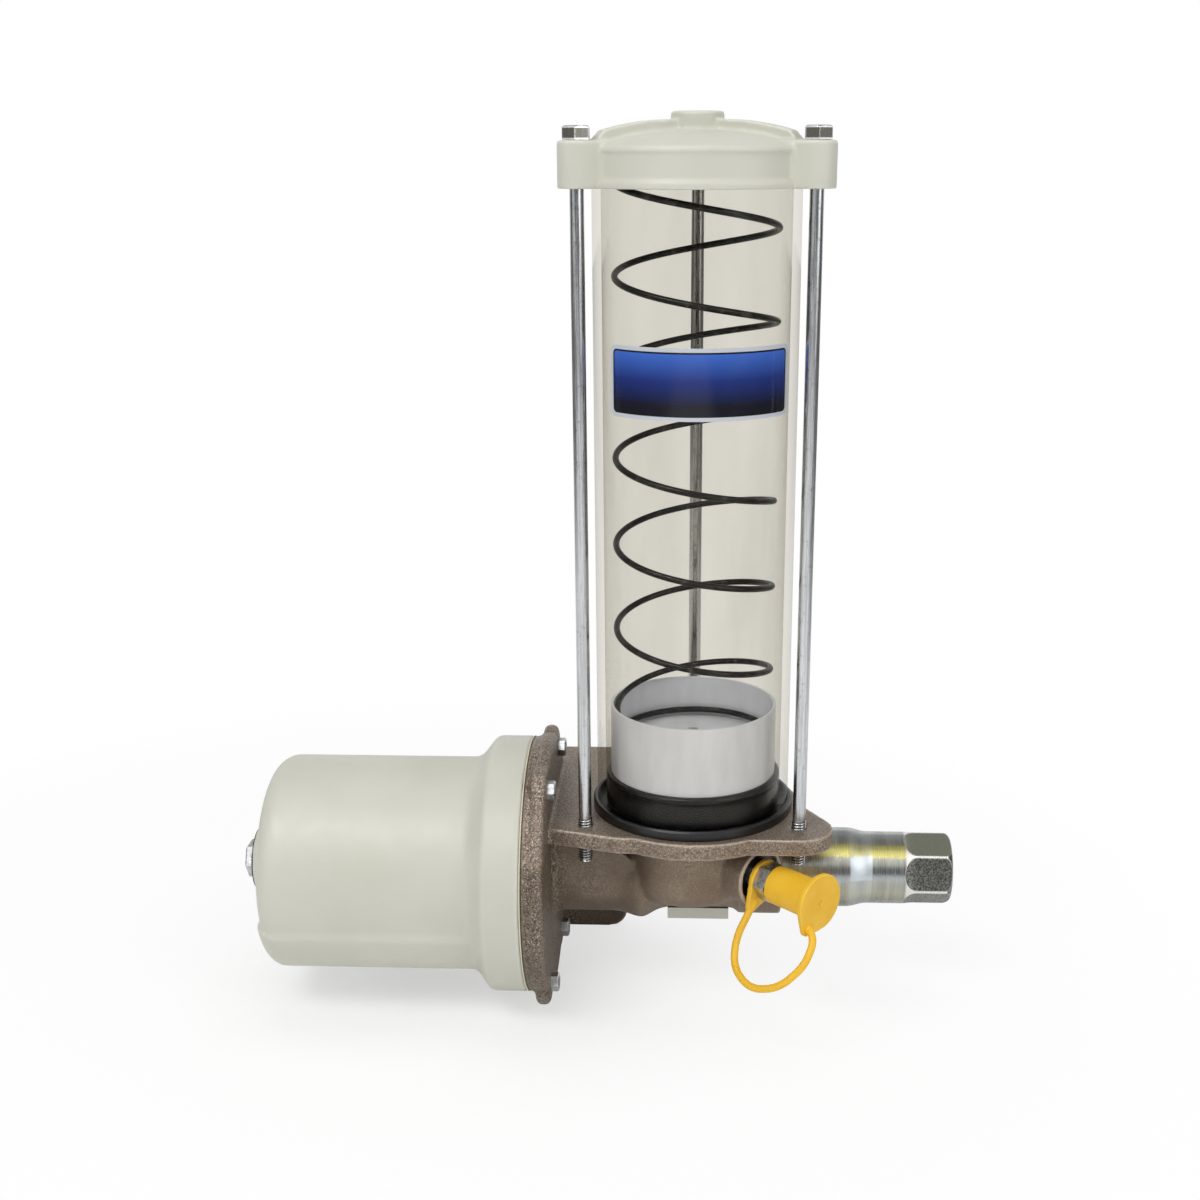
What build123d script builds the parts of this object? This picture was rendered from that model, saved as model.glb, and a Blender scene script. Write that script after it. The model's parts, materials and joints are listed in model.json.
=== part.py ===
from build123d import *
import math
import os

# Automatic lubricator: an air-operated, single-stroke grease pump under a clear
# reservoir. Millimetres, +Z up. The pump runs along X with its outlet at +X, the
# wall that it hangs on is at +Y, and the origin is the centre of the outlet's end
# face, on the pump axis.

os.makedirs("parts", exist_ok=True)

# ---------------------------------------------------------------- dimensions

# Reservoir
reservoir_x = -148.0
tube_r = 54.0
tube_wall = 4.75
tube_bottom_z = 40.6
tube_top_z = 392.5
tie_bolt_pitch_r = 68.1
tie_bolt_count = 3
tie_bolt_start = 90
tie_shank_r = 3.55
tie_thread_r = 3.95
tie_bottom_z = 17.7

# Base plate of the pump body
plate_top_z = 39.1
plate_thickness = 9.4
plate_bottom_z = plate_top_z - plate_thickness
plate_disc_r = 61.3
plate_lobe_r = 18.7
plate_front_y = -52.7
plate_rear_y = 87.0
plate_left_y = -40.0

# Flange of the pump body and skirt of the air cylinder
skirt_r = 73.5
flange_r = 75.0
flange_face_x = reservoir_x - 92.0
flange_step_x = reservoir_x - 88.0
flange_back_x = reservoir_x - 79.5
ear_r = 13.0
ear_blend = 8.0
flange_rounding = 3.5
spigot_rounding = 1.5
screw_pitch_r = 68.0
screw_angles = (60, 120, 240, 300)
screw_shank_r = 3.0

# Barrel and grease bowl
barrel_r = 27.0
bulge_r = 30.3
waist_r = 24.5
collar_r = 27.2
barrel_end_x = reservoir_x + 51.0
neck_half_width = 28.0
bowl_r = 42.0
bowl_bottom_z = -13.0
bowl_rounding = 16.0
cavity_top_r = 33.0
cavity_r = 22.0
cavity_bottom_z = -12.0

gland_r = 12.0
gland_depth = 12.0
gland_nut_length = 6.0
bushing_r = 10.0
bushing_end_x = reservoir_x - 56.0
breather_r = 4.0
clean_out_r = 8.0
cover_screw_r = 2.0
cover_screw_depth = 7.0

# Rear plate that bolts to the wall
wall_y = 88.0
wall_plate_thickness = 10.0
wall_plate_left_x = reservoir_x - 90.0
wall_plate_right_x = reservoir_x - 42.0
wall_plate_bottom_z = -80.0
wall_bolt_x = reservoir_x - 61.0
wall_bolt_z = (-62.0, 18.0)
wall_bolt_r = 4.5

# Fill boss, on the front right, square to the reservoir's axis
fill_z = 10.5
fill_angle = -45
boss_r = 17.0
boss_face = 55.0
seal_pocket_r = 14.5
seal_pocket_floor = 49.6
fill_thread_r = 8.0

# Pump cylinder and outlet check
cylinder_seat_r = 20.0
cylinder_start_x = reservoir_x + 26.0
cylinder_r = 22.6
cylinder_neck_r = 20.5
outlet_flat = 36.0
outlet_hex_length = 28.0
outlet_turn = -11.8
cylinder_shoulder_x = reservoir_x + 88.4
cylinder_neck_x = reservoir_x + 100.5
plunger_r = 6.0
running_gap = 0.05
bore_end_x = reservoir_x + 92.0
passage_r = 4.5
passage_end_x = reservoir_x + 97.0
check_chamber_r = 8.8
outlet_r = 9.2
outlet_depth = 20.0
check_ball_r = 7.0
check_spring_r = 5.0
check_wire_r = 0.5
check_spring_turns = 5

check_retainer_x = reservoir_x + 121.0
seal_groove_x = barrel_end_x - 6.0
seal_groove_width = 3.0
seal_groove_r = 17.6

# Air cylinder
air_outer_r = 60.9
air_bore_r = 57.0
skirt_left_x = reservoir_x - 113.0
flare_left_x = reservoir_x - 122.5
knuckle_x = reservoir_x - 229.5
knuckle_r = 12.0
knuckle_angle = 78
air_floor_x = reservoir_x - 236.0
hub_face_x = reservoir_x - 252.0
hub_face_r = 20.5
gasket_thickness = 0.6
skirt_face_x = flange_face_x - gasket_thickness
skirt_rounding = 4.0
flare_blend = 9.0
pad_height = 2.0
pad_start_angle = 20.0
pad_arc_angle = 32.0
pad_root = 2.0
pad_outer_r = air_outer_r + pad_height
pad_inner_r = air_outer_r - pad_root
screw_hole_depth = 20.0
screw_length = 30.0
screw_head_height = 4.5
inlet_seal_thickness = 1.0
inlet_seal_r = 18.0
inlet_head_height = 6.0
inlet_thread_length = 14.0
inlet_thread_r = 6.5
inlet_bore_r = 4.3

# Air piston and plunger
piston_left_x = reservoir_x - 234.0
piston_thickness = 18.0
piston_r = 56.0
plunger_stub_r = 5.0
plunger_tip_x = reservoir_x + 8.0
return_wire_r = 2.25
return_coil_r = 24.0
return_turns = 7

piston_hub_length = 10.0
piston_groove_x = piston_left_x + 7.0
piston_groove_width = 6.0
piston_groove_r = 50.0
nut_pocket_r = 11.0
nut_pocket_depth = 7.0

# Follower and its spring
follower_r = 46.26
follower_bottom_z = 60.6
follower_rim_z = 99.6
follower_floor_z = 76.5
follower_wall = 1.6
follower_seal_bottom_z = 41.8
follower_seal_r = 49.2
spring_wire_r = 1.72
spring_coil_r = 42.6
spring_pitch = 47.46

# Lid
lid_r = 61.0
lid_band_r = 61.6
lid_bottom_z = 377.6
lid_band_top_z = 380.6
lid_shoulder_z = 397.5
lug_r = 9.5
lug_top_z = 400.4
lid_boss_r = 13.9
lid_boss_top_z = 414.5
lid_ceiling_z = 400.0

dome_middle_z = 403.6
dome_top_z = 405.3
lid_boss_taper = 0.5
rib_top_z = 410.5
rib_width = 8.0
lid_panel_margin = 11.0
lid_panel_depth = 0.8
lid_panel_bottom_z = 381.5
lid_panel_top_z = 395.0
lid_gasket_thickness = 1.5
base_gasket_inner_r = 46.0
base_gasket_outer_r = 56.5
base_lip_top_z = 44.6

# Hexagon heads, across flats
tie_head_flats = 13.0
screw_head_flats = 9.5
inlet_flats = 19.0
fill_flats = 19.0

tie_head_height = 6.9
tie_head_chamfer = 1.3
tie_thread_top_z = plate_top_z + 4.5
rib_middle = (38.0, 408.6)
rib_knee = (54.5, 405.0)
rib_end_r = 61.5
lid_rib_foot_z = 395.0
lid_seat_r = 47.0
vent_r = 6.0
vent_hole_r = 1.5
vent_length = 9.0

# Nameplate
nameplate_start_angle = -141.6
nameplate_arc = 110.8
nameplate_bottom_z = 266.1
nameplate_height = 36.2
nameplate_thickness = 0.5

# Follower fastening
follower_boss_r = 10.0
follower_floor = 2.0
follower_screw_r = 3.0
seal_disc = 4.0
backing_thickness = 2.0
closed_pitch = 3.6
spring_start_angle = 289.2

# Bottom cover
cover_x = reservoir_x + 3.7
cover_seat_z = -20.5
cover_length = 35.0
cover_width = 28.0
cover_screw_x = 12.5
cover_gasket_thickness = 0.5
cover_thickness = 6.6
cover_bottom_z = cover_seat_z - cover_gasket_thickness - cover_thickness
cover_screw_head_r = 3.5
cover_head_height = 3.0

# Fill fitting, along its own axis from the reservoir's axis
fill_thread_start = 38.0
fill_neck_r = 8.5
fill_seal_thickness = 2.6
fill_hex_start = 58.6
fill_hex_end = 66.0
fill_nipple_r = 7.0
fill_nipple_end = 84.0
fill_passage_r = 2.5

# Dust cap
strap_ring_start = 55.5
strap_ring_width = 2.9
strap_ring_r = 11.2
cap_open_end = 66.5
cap_disc_start = 95.5
cap_end = 98.5
cap_bore_r = 7.3
cap_body_r = 10.75
cap_disc_r = 16.0
strap_r = 2.1
tab_end_r = 3.2
dimple_r = 1.7
strap_turn = 37.0
ring_tab_reach = 17.0
disc_tab_reach = 16.5
strap_points = [
    (57.6, -12.5),
    (56.8, -36.0),
    (64.0, -51.0),
    (80.0, -57.5),
    (97.0, -50.5),
    (106.0, -34.0),
    (105.0, -20.0),
    (97.0, -13.5),
]


# ---------------------------------------------------------------- helpers

def near(sketch, x, y):
    """The corner of a sketch that lies nearest a point."""
    return sketch.vertices().sort_by_distance((x, y, 0))[0]


def bend_radii(points):
    """Arcs as large as each pair of neighbouring runs allows."""
    radii = []
    for before, corner, after in zip(points, points[1:], points[2:]):
        run_in = Vector(*corner) - Vector(*before)
        run_out = Vector(*after) - Vector(*corner)
        half_turn = math.radians(run_in.get_angle(run_out)) / 2
        radii.append(0.45 * min(run_in.length, run_out.length) / math.tan(half_turn))
    return radii


def upright(angle, height=0):
    """Upright plane out from the reservoir's axis: x outwards, y up."""
    return Plane(
        origin=(reservoir_x, 0, height),
        x_dir=Vector(1, 0, 0).rotate(Axis.Z, angle),
        z_dir=Vector(0, -1, 0).rotate(Axis.Z, angle),
    )


reservoir_section = upright(0)
reservoir_axis = Axis((reservoir_x, 0, 0), (0, 0, 1))
fill_section = upright(fill_angle, fill_z)
strap_plane = Plane(
    origin=fill_section.origin,
    x_dir=fill_section.x_dir,
    z_dir=fill_section.z_dir.rotate(Axis((0, 0, 0), fill_section.x_dir), -strap_turn),
)
fill_axis = Axis((reservoir_x, 0, fill_z), fill_section.x_dir)
fill_plane = Plane(
    origin=(reservoir_x, 0, fill_z),
    x_dir=Vector(0, 1, 0).rotate(Axis.Z, fill_angle),
    z_dir=fill_section.x_dir,
)


# ---------------------------------------------------------------- pump body

with BuildPart() as pump_body:
    # Flange disc with an ear round each of its four screws
    with BuildSketch(Plane.YZ.offset(flange_step_x)) as flange_outline:
        Circle(flange_r)
        for angle in screw_angles:
            with PolarLocations(screw_pitch_r, 1, start_angle=angle):
                Circle(ear_r)
        fillet(flange_outline.vertices(), ear_blend)
    extrude(amount=flange_back_x - flange_step_x)
    fillet(pump_body.faces().filter_by(Axis.X).edges(), flange_rounding)

    # Spigot rim of the flange, barrel, bulge, waist and outlet collar
    with BuildSketch(Plane.XZ) as barrel_outline:
        with BuildLine():
            Polyline(
                (flange_face_x, 0),
                (flange_face_x, skirt_r),
                (flange_step_x, skirt_r),
                (flange_back_x, skirt_r - 10),
                (flange_back_x, barrel_r),
                (reservoir_x - 46, barrel_r),
            )
            Spline(
                (reservoir_x - 46, barrel_r),
                (reservoir_x - 28, bulge_r),
                (reservoir_x - 12, waist_r),
                tangents=[(1, 0), (1, 0)],
            )
            Polyline(
                (reservoir_x - 12, waist_r),
                (reservoir_x + 24, waist_r),
                (reservoir_x + 27, collar_r),
                (barrel_end_x, collar_r),
                (barrel_end_x, 0),
                (flange_face_x, 0),
            )
        make_face()
        fillet(near(barrel_outline, flange_face_x, skirt_r), spigot_rounding)
        fillet(near(barrel_outline, flange_back_x, barrel_r), 5)
        fillet(near(barrel_outline, barrel_end_x, collar_r), 1.2)
    revolve(axis=Axis.X)

    # Neck that joins the barrel to the underside of the plate
    with BuildSketch(Plane.XZ):
        with BuildLine():
            Polyline(
                (reservoir_x - 27, -2),
                (flange_step_x, -2),
                (flange_step_x, plate_bottom_z + 1),
                (reservoir_x - 54, plate_bottom_z + 1),
            )
            Spline(
                (reservoir_x - 54, plate_bottom_z + 1),
                (reservoir_x - 44, 22.5),
                (reservoir_x - 37, 17.6),
                (reservoir_x - 30, 10),
                (reservoir_x - 27, -2),
            )
        make_face()
    extrude(amount=neck_half_width, both=True)

    # Grease bowl under the reservoir
    with BuildSketch(reservoir_section) as bowl_outline:
        with BuildLine():
            Polyline(
                (0, bowl_bottom_z),
                (bowl_r, bowl_bottom_z),
                (bowl_r, plate_bottom_z + 1),
                (0, plate_bottom_z + 1),
                close=True,
            )
        make_face()
        fillet(near(bowl_outline, bowl_r, bowl_bottom_z), bowl_rounding)
    revolve(axis=reservoir_axis)

    # Fill boss
    with BuildSketch(fill_plane.offset(bowl_r / 2)):
        Circle(boss_r)
    extrude(amount=boss_face - bowl_r / 2)

    # Base plate: two round lobes, a straight run to the flange and a disc under the tube
    with BuildSketch(Plane.XY.offset(plate_bottom_z)) as plate_outline:
        with Locations((reservoir_x, 0)):
            with PolarLocations(tie_bolt_pitch_r, 2, start_angle=-30, angular_range=240):
                Circle(plate_lobe_r)
            Polygon(
                (flange_back_x - reservoir_x - 3, plate_left_y),
                (-41, plate_front_y),
                (0, plate_front_y),
                (0, plate_rear_y),
                (flange_back_x - reservoir_x - 3, plate_rear_y),
                align=None,
            )
        make_hull()
        with Locations((reservoir_x, 0)):
            Circle(plate_disc_r)
    extrude(amount=plate_thickness)

    # Rear plate, down the back of the flange
    with BuildSketch(Plane.XZ.offset(-wall_y)) as wall_plate_outline:
        with BuildLine():
            Polyline(
                (wall_plate_left_x, plate_top_z),
                (wall_plate_right_x, plate_top_z),
                (wall_plate_right_x, wall_plate_bottom_z),
                (wall_plate_left_x, wall_plate_bottom_z),
                close=True,
            )
        make_face()
        fillet(near(wall_plate_outline, wall_plate_right_x, wall_plate_bottom_z), 11)
        fillet(near(wall_plate_outline, wall_plate_left_x, wall_plate_bottom_z), 11)
        fillet(near(wall_plate_outline, wall_plate_left_x, plate_top_z), 11)
    extrude(amount=wall_plate_thickness)

    # Reservoir opening, tapering into the pumping chamber
    with BuildSketch(reservoir_section):
        with BuildLine():
            Polyline(
                (0, cavity_bottom_z),
                (cavity_r, cavity_bottom_z),
                (cavity_r, 20),
                (cavity_top_r, plate_top_z),
                (0, plate_top_z),
                close=True,
            )
        make_face()
    revolve(axis=reservoir_axis, mode=Mode.SUBTRACT)

    # Bores on the pump axis: gland, bushing, passage and pump cylinder seat
    with BuildSketch(Plane.YZ.offset(flange_face_x)):
        Circle(gland_r)
    extrude(amount=gland_depth, mode=Mode.SUBTRACT)
    with BuildSketch(Plane.YZ.offset(flange_face_x)):
        Circle(bushing_r)
    extrude(amount=bushing_end_x - flange_face_x, mode=Mode.SUBTRACT)
    with BuildSketch(Plane.YZ.offset(bushing_end_x)):
        Circle(plunger_r + 1)
    extrude(amount=cylinder_start_x - bushing_end_x, mode=Mode.SUBTRACT)
    with BuildSketch(Plane.YZ.offset(barrel_end_x)):
        Circle(cylinder_seat_r)
    extrude(amount=cylinder_start_x - barrel_end_x, mode=Mode.SUBTRACT)

    # Flange screw holes and the breather hole
    with BuildSketch(Plane.YZ.offset(flange_face_x)):
        for angle in screw_angles:
            with PolarLocations(screw_pitch_r, 1, start_angle=angle):
                Circle(screw_shank_r + 0.2)
        with Locations((-14, -42)):
            Circle(breather_r)
    extrude(amount=flange_back_x - flange_face_x, mode=Mode.SUBTRACT)

    # Tie bolt holes
    with BuildSketch(Plane.XY.offset(plate_bottom_z)):
        with Locations((reservoir_x, 0)):
            with PolarLocations(tie_bolt_pitch_r, tie_bolt_count, start_angle=tie_bolt_start):
                Circle(tie_thread_r + running_gap)
    extrude(amount=plate_thickness, mode=Mode.SUBTRACT)

    # Fill port: seal pocket and threaded hole
    with BuildSketch(fill_plane.offset(seal_pocket_floor)):
        Circle(seal_pocket_r)
    extrude(amount=boss_face - seal_pocket_floor, mode=Mode.SUBTRACT)
    with BuildSketch(fill_plane.offset(cavity_r / 2)):
        Circle(fill_thread_r)
    extrude(amount=seal_pocket_floor - cavity_r / 2, mode=Mode.SUBTRACT)

    # Flat seat, port and screw holes of the bottom cover
    with BuildSketch(Plane.XY.offset(cover_seat_z)):
        with Locations((cover_x, 0)):
            Rectangle(cover_length, cover_width + 1)
    extrude(amount=-10, mode=Mode.SUBTRACT)
    with BuildSketch(Plane.XY.offset(cover_seat_z)):
        with Locations((cover_x, 0)):
            Circle(clean_out_r)
    extrude(amount=cavity_bottom_z - cover_seat_z, mode=Mode.SUBTRACT)
    with BuildSketch(Plane.XY.offset(cover_seat_z)):
        with Locations((cover_x, 0)):
            with GridLocations(2 * cover_screw_x, 0, 2, 1):
                Circle(cover_screw_r)
    extrude(amount=cover_screw_depth, mode=Mode.SUBTRACT)

    # Wall bolt holes
    with BuildSketch(Plane.XZ.offset(-wall_y)):
        for z in wall_bolt_z:
            with Locations((wall_bolt_x, z)):
                Circle(wall_bolt_r)
    extrude(amount=wall_plate_thickness + 40, mode=Mode.SUBTRACT)

pump_body.part.label = "pump_body"
export_step(pump_body.part, "parts/pump_body.step")


# ---------------------------------------------------------------- pump end

# Gland nut, seal and bushing that guide the plunger
with BuildPart() as plunger_gland_nut:
    with BuildSketch(Plane.YZ.offset(flange_face_x)):
        Circle(gland_r - running_gap)
        Circle(plunger_r + 0.5, mode=Mode.SUBTRACT)
    extrude(amount=gland_nut_length)
    with BuildSketch(Plane.YZ.offset(flange_face_x)):
        with PolarLocations(gland_r - 2.5, 4):
            Circle(1.25)
    extrude(amount=3, mode=Mode.SUBTRACT)

plunger_gland_nut.part.label = "plunger_gland_nut"
export_step(plunger_gland_nut.part, "parts/plunger_gland_nut.step")

with BuildPart() as plunger_seal:
    with BuildSketch(Plane.YZ.offset(flange_face_x + gland_nut_length)):
        Circle(gland_r - running_gap)
        Circle(plunger_r + running_gap, mode=Mode.SUBTRACT)
    extrude(amount=gland_depth - gland_nut_length)
    with BuildSketch(Plane.YZ.offset(flange_face_x + gland_depth)):
        Circle(gland_r - 1.5)
        Circle(plunger_r + 1.5, mode=Mode.SUBTRACT)
    extrude(amount=-3, mode=Mode.SUBTRACT)

plunger_seal.part.label = "plunger_seal"
export_step(plunger_seal.part, "parts/plunger_seal.step")

with BuildPart() as plunger_bushing:
    with BuildSketch(Plane.YZ.offset(flange_face_x + gland_depth)):
        Circle(bushing_r - running_gap)
        Circle(plunger_r + running_gap, mode=Mode.SUBTRACT)
    extrude(amount=bushing_end_x - flange_face_x - gland_depth)

plunger_bushing.part.label = "plunger_bushing"
export_step(plunger_bushing.part, "parts/plunger_bushing.step")

# Pump cylinder: threaded seat, turned body, necked hexagon end with the outlet port
hex_start_x = -outlet_hex_length
hex_runout_r = 12.0
with BuildPart() as pump_cylinder:
    with BuildSketch(Plane.XZ) as cylinder_outline:
        with BuildLine():
            Polyline(
                (cylinder_neck_x, cylinder_neck_r),
                (0, cylinder_neck_r),
                (0, 0),
                (cylinder_start_x, 0),
                (cylinder_start_x, cylinder_seat_r - running_gap),
                (barrel_end_x + 0.02, cylinder_seat_r - running_gap),
                (barrel_end_x + 0.02, cylinder_r),
                (cylinder_shoulder_x, cylinder_r),
            )
            Spline(
                (cylinder_shoulder_x, cylinder_r),
                (cylinder_neck_x, cylinder_neck_r),
                tangents=[(1, 0), (1, 0)],
            )
        make_face()
        fillet(near(cylinder_outline, 0, cylinder_neck_r), 4.5)
    revolve(axis=Axis.X)

    # Flats, each ending in the round run-out of its cutter
    runout_x = hex_start_x + hex_runout_r * 0.65
    for index in range(6):
        flat_plane = Plane.XZ.rotated((outlet_turn - 90 + 60 * index, 0, 0))
        with BuildSketch(flat_plane):
            with Locations((runout_x, outlet_flat / 2 + hex_runout_r)):
                Circle(hex_runout_r)
            with Locations((runout_x, outlet_flat / 2)):
                Rectangle(outlet_hex_length, hex_runout_r, align=(Align.MIN, Align.MIN))
        extrude(amount=cylinder_r, both=True, mode=Mode.SUBTRACT)

    # O-ring groove at the end of the seat
    with BuildSketch(Plane.YZ.offset(seal_groove_x)):
        Circle(cylinder_r)
        Circle(seal_groove_r, mode=Mode.SUBTRACT)
    extrude(amount=seal_groove_width, mode=Mode.SUBTRACT)

    # Plunger bore, valve passage, coned seat, valve chamber and outlet port
    with BuildSketch(Plane.XZ):
        with BuildLine():
            Polyline(
                (cylinder_start_x, 0),
                (cylinder_start_x, plunger_r + 2),
                (cylinder_start_x + 2, plunger_r + running_gap),
                (bore_end_x, plunger_r + running_gap),
                (bore_end_x, passage_r),
                (passage_end_x, passage_r),
                (passage_end_x + check_chamber_r - passage_r, check_chamber_r),
                (-outlet_depth, check_chamber_r),
                (-outlet_depth, outlet_r),
                (0, outlet_r),
                (0, 0),
                close=True,
            )
        make_face()
    revolve(axis=Axis.X, mode=Mode.SUBTRACT)

pump_cylinder.part.label = "pump_cylinder"
export_step(pump_cylinder.part, "parts/pump_cylinder.step")

with BuildPart() as pump_cylinder_seal:
    with BuildSketch(Plane.YZ.offset(seal_groove_x)):
        Circle(cylinder_seat_r - running_gap)
        Circle(seal_groove_r, mode=Mode.SUBTRACT)
    extrude(amount=seal_groove_width)
    rims = pump_cylinder_seal.edges().filter_by(GeomType.CIRCLE)
    fillet(rims.group_by(SortBy.RADIUS)[-1], 0.8)

pump_cylinder_seal.part.label = "pump_cylinder_seal"
export_step(pump_cylinder_seal.part, "parts/pump_cylinder_seal.step")

# Outlet check: the ball touches the coned seat at 45 degrees
ball_x = passage_end_x - passage_r + check_ball_r * math.sqrt(2) + 0.02
with BuildPart() as check_ball:
    with Locations((ball_x, 0, 0)):
        Sphere(check_ball_r)

check_ball.part.label = "check_ball"
export_step(check_ball.part, "parts/check_ball.step")

check_spring_start_x = ball_x + math.sqrt(check_ball_r**2 - check_spring_r**2) + 1.1
check_spring_length = check_retainer_x - check_wire_r - 0.05 - check_spring_start_x
with BuildPart() as check_spring:
    with BuildLine() as check_wire:
        Helix(
            pitch=check_spring_length / check_spring_turns,
            height=check_spring_length,
            radius=check_spring_r,
            center=(check_spring_start_x, 0, 0),
            direction=(1, 0, 0),
        )
    with BuildSketch(Plane(origin=check_wire.line @ 0, z_dir=check_wire.line % 0)):
        Circle(check_wire_r)
    sweep()

check_spring.part.label = "check_spring"
export_step(check_spring.part, "parts/check_spring.step")

with BuildPart() as check_retainer:
    with BuildSketch(Plane.YZ.offset(check_retainer_x)):
        Circle(check_chamber_r - running_gap)
        RegularPolygon(3.5, 6, major_radius=False, mode=Mode.SUBTRACT)
    extrude(amount=4.5)

check_retainer.part.label = "check_retainer"
export_step(check_retainer.part, "parts/check_retainer.step")


# ---------------------------------------------------------------- air cylinder

with BuildPart() as air_cylinder:
    with BuildSketch(Plane.XZ) as air_outline:
        with BuildLine():
            skirt_line = Polyline(
                (skirt_face_x, air_bore_r),
                (skirt_face_x, skirt_r),
                (skirt_left_x, skirt_r),
                (flare_left_x, air_outer_r),
                (knuckle_x, air_outer_r),
            )
            knuckle_line = JernArc(skirt_line @ 1, (-1, 0), knuckle_r, knuckle_angle)
            Polyline(
                knuckle_line @ 1,
                (hub_face_x + 6.5, hub_face_r + 5.5),
                (hub_face_x, hub_face_r),
                (hub_face_x, 0),
                (air_floor_x, 0),
                (air_floor_x, air_bore_r - 8),
                (air_floor_x + 8, air_bore_r),
                (skirt_face_x, air_bore_r),
            )
        make_face()
        fillet(near(air_outline, skirt_left_x, skirt_r), skirt_rounding)
        fillet(near(air_outline, flare_left_x, air_outer_r), flare_blend)
        fillet(near(air_outline, hub_face_x + 6.5, hub_face_r + 5.5), 3)
        fillet(near(air_outline, hub_face_x, hub_face_r), 2)
    revolve(axis=Axis.X)

    # Raised pad along the lower front, carried round the end
    with BuildSketch(Plane.XY.rotated((pad_start_angle, 0, 0))):
        with BuildLine():
            outer_line = Line((skirt_left_x, -pad_outer_r), (knuckle_x, -pad_outer_r))
            outer_arc = JernArc(outer_line @ 1, (-1, 0), knuckle_r + pad_height, -knuckle_angle)
            inner_line = Line((skirt_left_x, -pad_inner_r), (knuckle_x, -pad_inner_r))
            inner_arc = JernArc(inner_line @ 1, (-1, 0), knuckle_r - pad_root, -knuckle_angle)
            Line(outer_line @ 0, inner_line @ 0)
            Line(outer_arc @ 1, inner_arc @ 1)
        make_face()
    revolve(axis=Axis.X, revolution_arc=pad_arc_angle)

    # Threaded inlet and the blind holes of the flange screws
    with BuildSketch(Plane.YZ.offset(hub_face_x)):
        Circle(inlet_thread_r + running_gap)
    extrude(amount=air_floor_x - hub_face_x, mode=Mode.SUBTRACT)
    with BuildSketch(Plane.YZ.offset(skirt_face_x)):
        for angle in screw_angles:
            with PolarLocations(screw_pitch_r, 1, start_angle=angle):
                Circle(screw_shank_r + running_gap)
    extrude(amount=-screw_hole_depth, mode=Mode.SUBTRACT)

air_cylinder.part.label = "air_cylinder"
export_step(air_cylinder.part, "parts/air_cylinder.step")

with BuildPart() as air_cylinder_gasket:
    with BuildSketch(Plane.YZ.offset(skirt_face_x)):
        Circle(skirt_r)
        Circle(air_bore_r, mode=Mode.SUBTRACT)
        for angle in screw_angles:
            with PolarLocations(screw_pitch_r, 1, start_angle=angle):
                Circle(screw_shank_r + 0.2, mode=Mode.SUBTRACT)
    extrude(amount=gasket_thickness)

air_cylinder_gasket.part.label = "air_cylinder_gasket"
export_step(air_cylinder_gasket.part, "parts/air_cylinder_gasket.step")

with BuildPart() as flange_screws:
    with BuildSketch(Plane.YZ.offset(flange_back_x)):
        for angle in screw_angles:
            with PolarLocations(screw_pitch_r, 1, start_angle=angle):
                RegularPolygon(screw_head_flats / 2, 6, major_radius=False)
    extrude(amount=screw_head_height)
    chamfer(flange_screws.faces().group_by(Axis.X)[-1].edges(), 0.8)
    with BuildSketch(Plane.YZ.offset(flange_back_x)):
        for angle in screw_angles:
            with PolarLocations(screw_pitch_r, 1, start_angle=angle):
                Circle(screw_shank_r)
    extrude(amount=-screw_length)

flange_screws.part.label = "flange_screws"
export_step(flange_screws.part, "parts/flange_screws.step")

with BuildPart() as inlet_seal:
    with BuildSketch(Plane.YZ.offset(hub_face_x)):
        Circle(inlet_seal_r)
        Circle(inlet_thread_r + running_gap, mode=Mode.SUBTRACT)
    extrude(amount=-inlet_seal_thickness)

inlet_seal.part.label = "inlet_seal"
export_step(inlet_seal.part, "parts/inlet_seal.step")

with BuildPart() as inlet_fitting:
    with BuildSketch(Plane.YZ.offset(hub_face_x - inlet_seal_thickness)):
        RegularPolygon(inlet_flats / 2, 6, major_radius=False)
    extrude(amount=-inlet_head_height)
    chamfer(inlet_fitting.faces().sort_by(Axis.X)[0].edges(), 0.8)
    with BuildSketch(Plane.YZ.offset(hub_face_x - inlet_seal_thickness)):
        Circle(inlet_thread_r)
    extrude(amount=inlet_thread_length)
    with BuildSketch(Plane.YZ.offset(hub_face_x - inlet_seal_thickness - inlet_head_height)):
        Circle(inlet_bore_r)
    extrude(amount=inlet_head_height + inlet_thread_length, mode=Mode.SUBTRACT)

inlet_fitting.part.label = "inlet_fitting"
export_step(inlet_fitting.part, "parts/inlet_fitting.step")


# ---------------------------------------------------------------- air piston and plunger

piston_right_x = piston_left_x + piston_thickness
with BuildPart() as air_piston:
    with BuildSketch(Plane.XZ) as piston_outline:
        with BuildLine():
            Polyline(
                (piston_left_x, nut_pocket_r),
                (piston_left_x, piston_r - 6),
                (piston_left_x + 6, piston_r),
                (piston_right_x, piston_r),
                (piston_right_x, piston_r - 8),
                (piston_right_x - 8, piston_r - 8),
                (piston_right_x - 8, return_coil_r + 4),
                (piston_right_x, return_coil_r + 4),
                (piston_right_x, 14),
                (piston_right_x + piston_hub_length, 12),
                (piston_right_x + piston_hub_length, plunger_stub_r + running_gap),
                (piston_left_x + nut_pocket_depth, plunger_stub_r + running_gap),
                (piston_left_x + nut_pocket_depth, nut_pocket_r),
                close=True,
            )
        make_face()
    revolve(axis=Axis.X)
    with BuildSketch(Plane.YZ.offset(piston_groove_x)):
        Circle(piston_r + 1)
        Circle(piston_groove_r, mode=Mode.SUBTRACT)
    extrude(amount=piston_groove_width, mode=Mode.SUBTRACT)

air_piston.part.label = "air_piston"
export_step(air_piston.part, "parts/air_piston.step")

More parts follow.
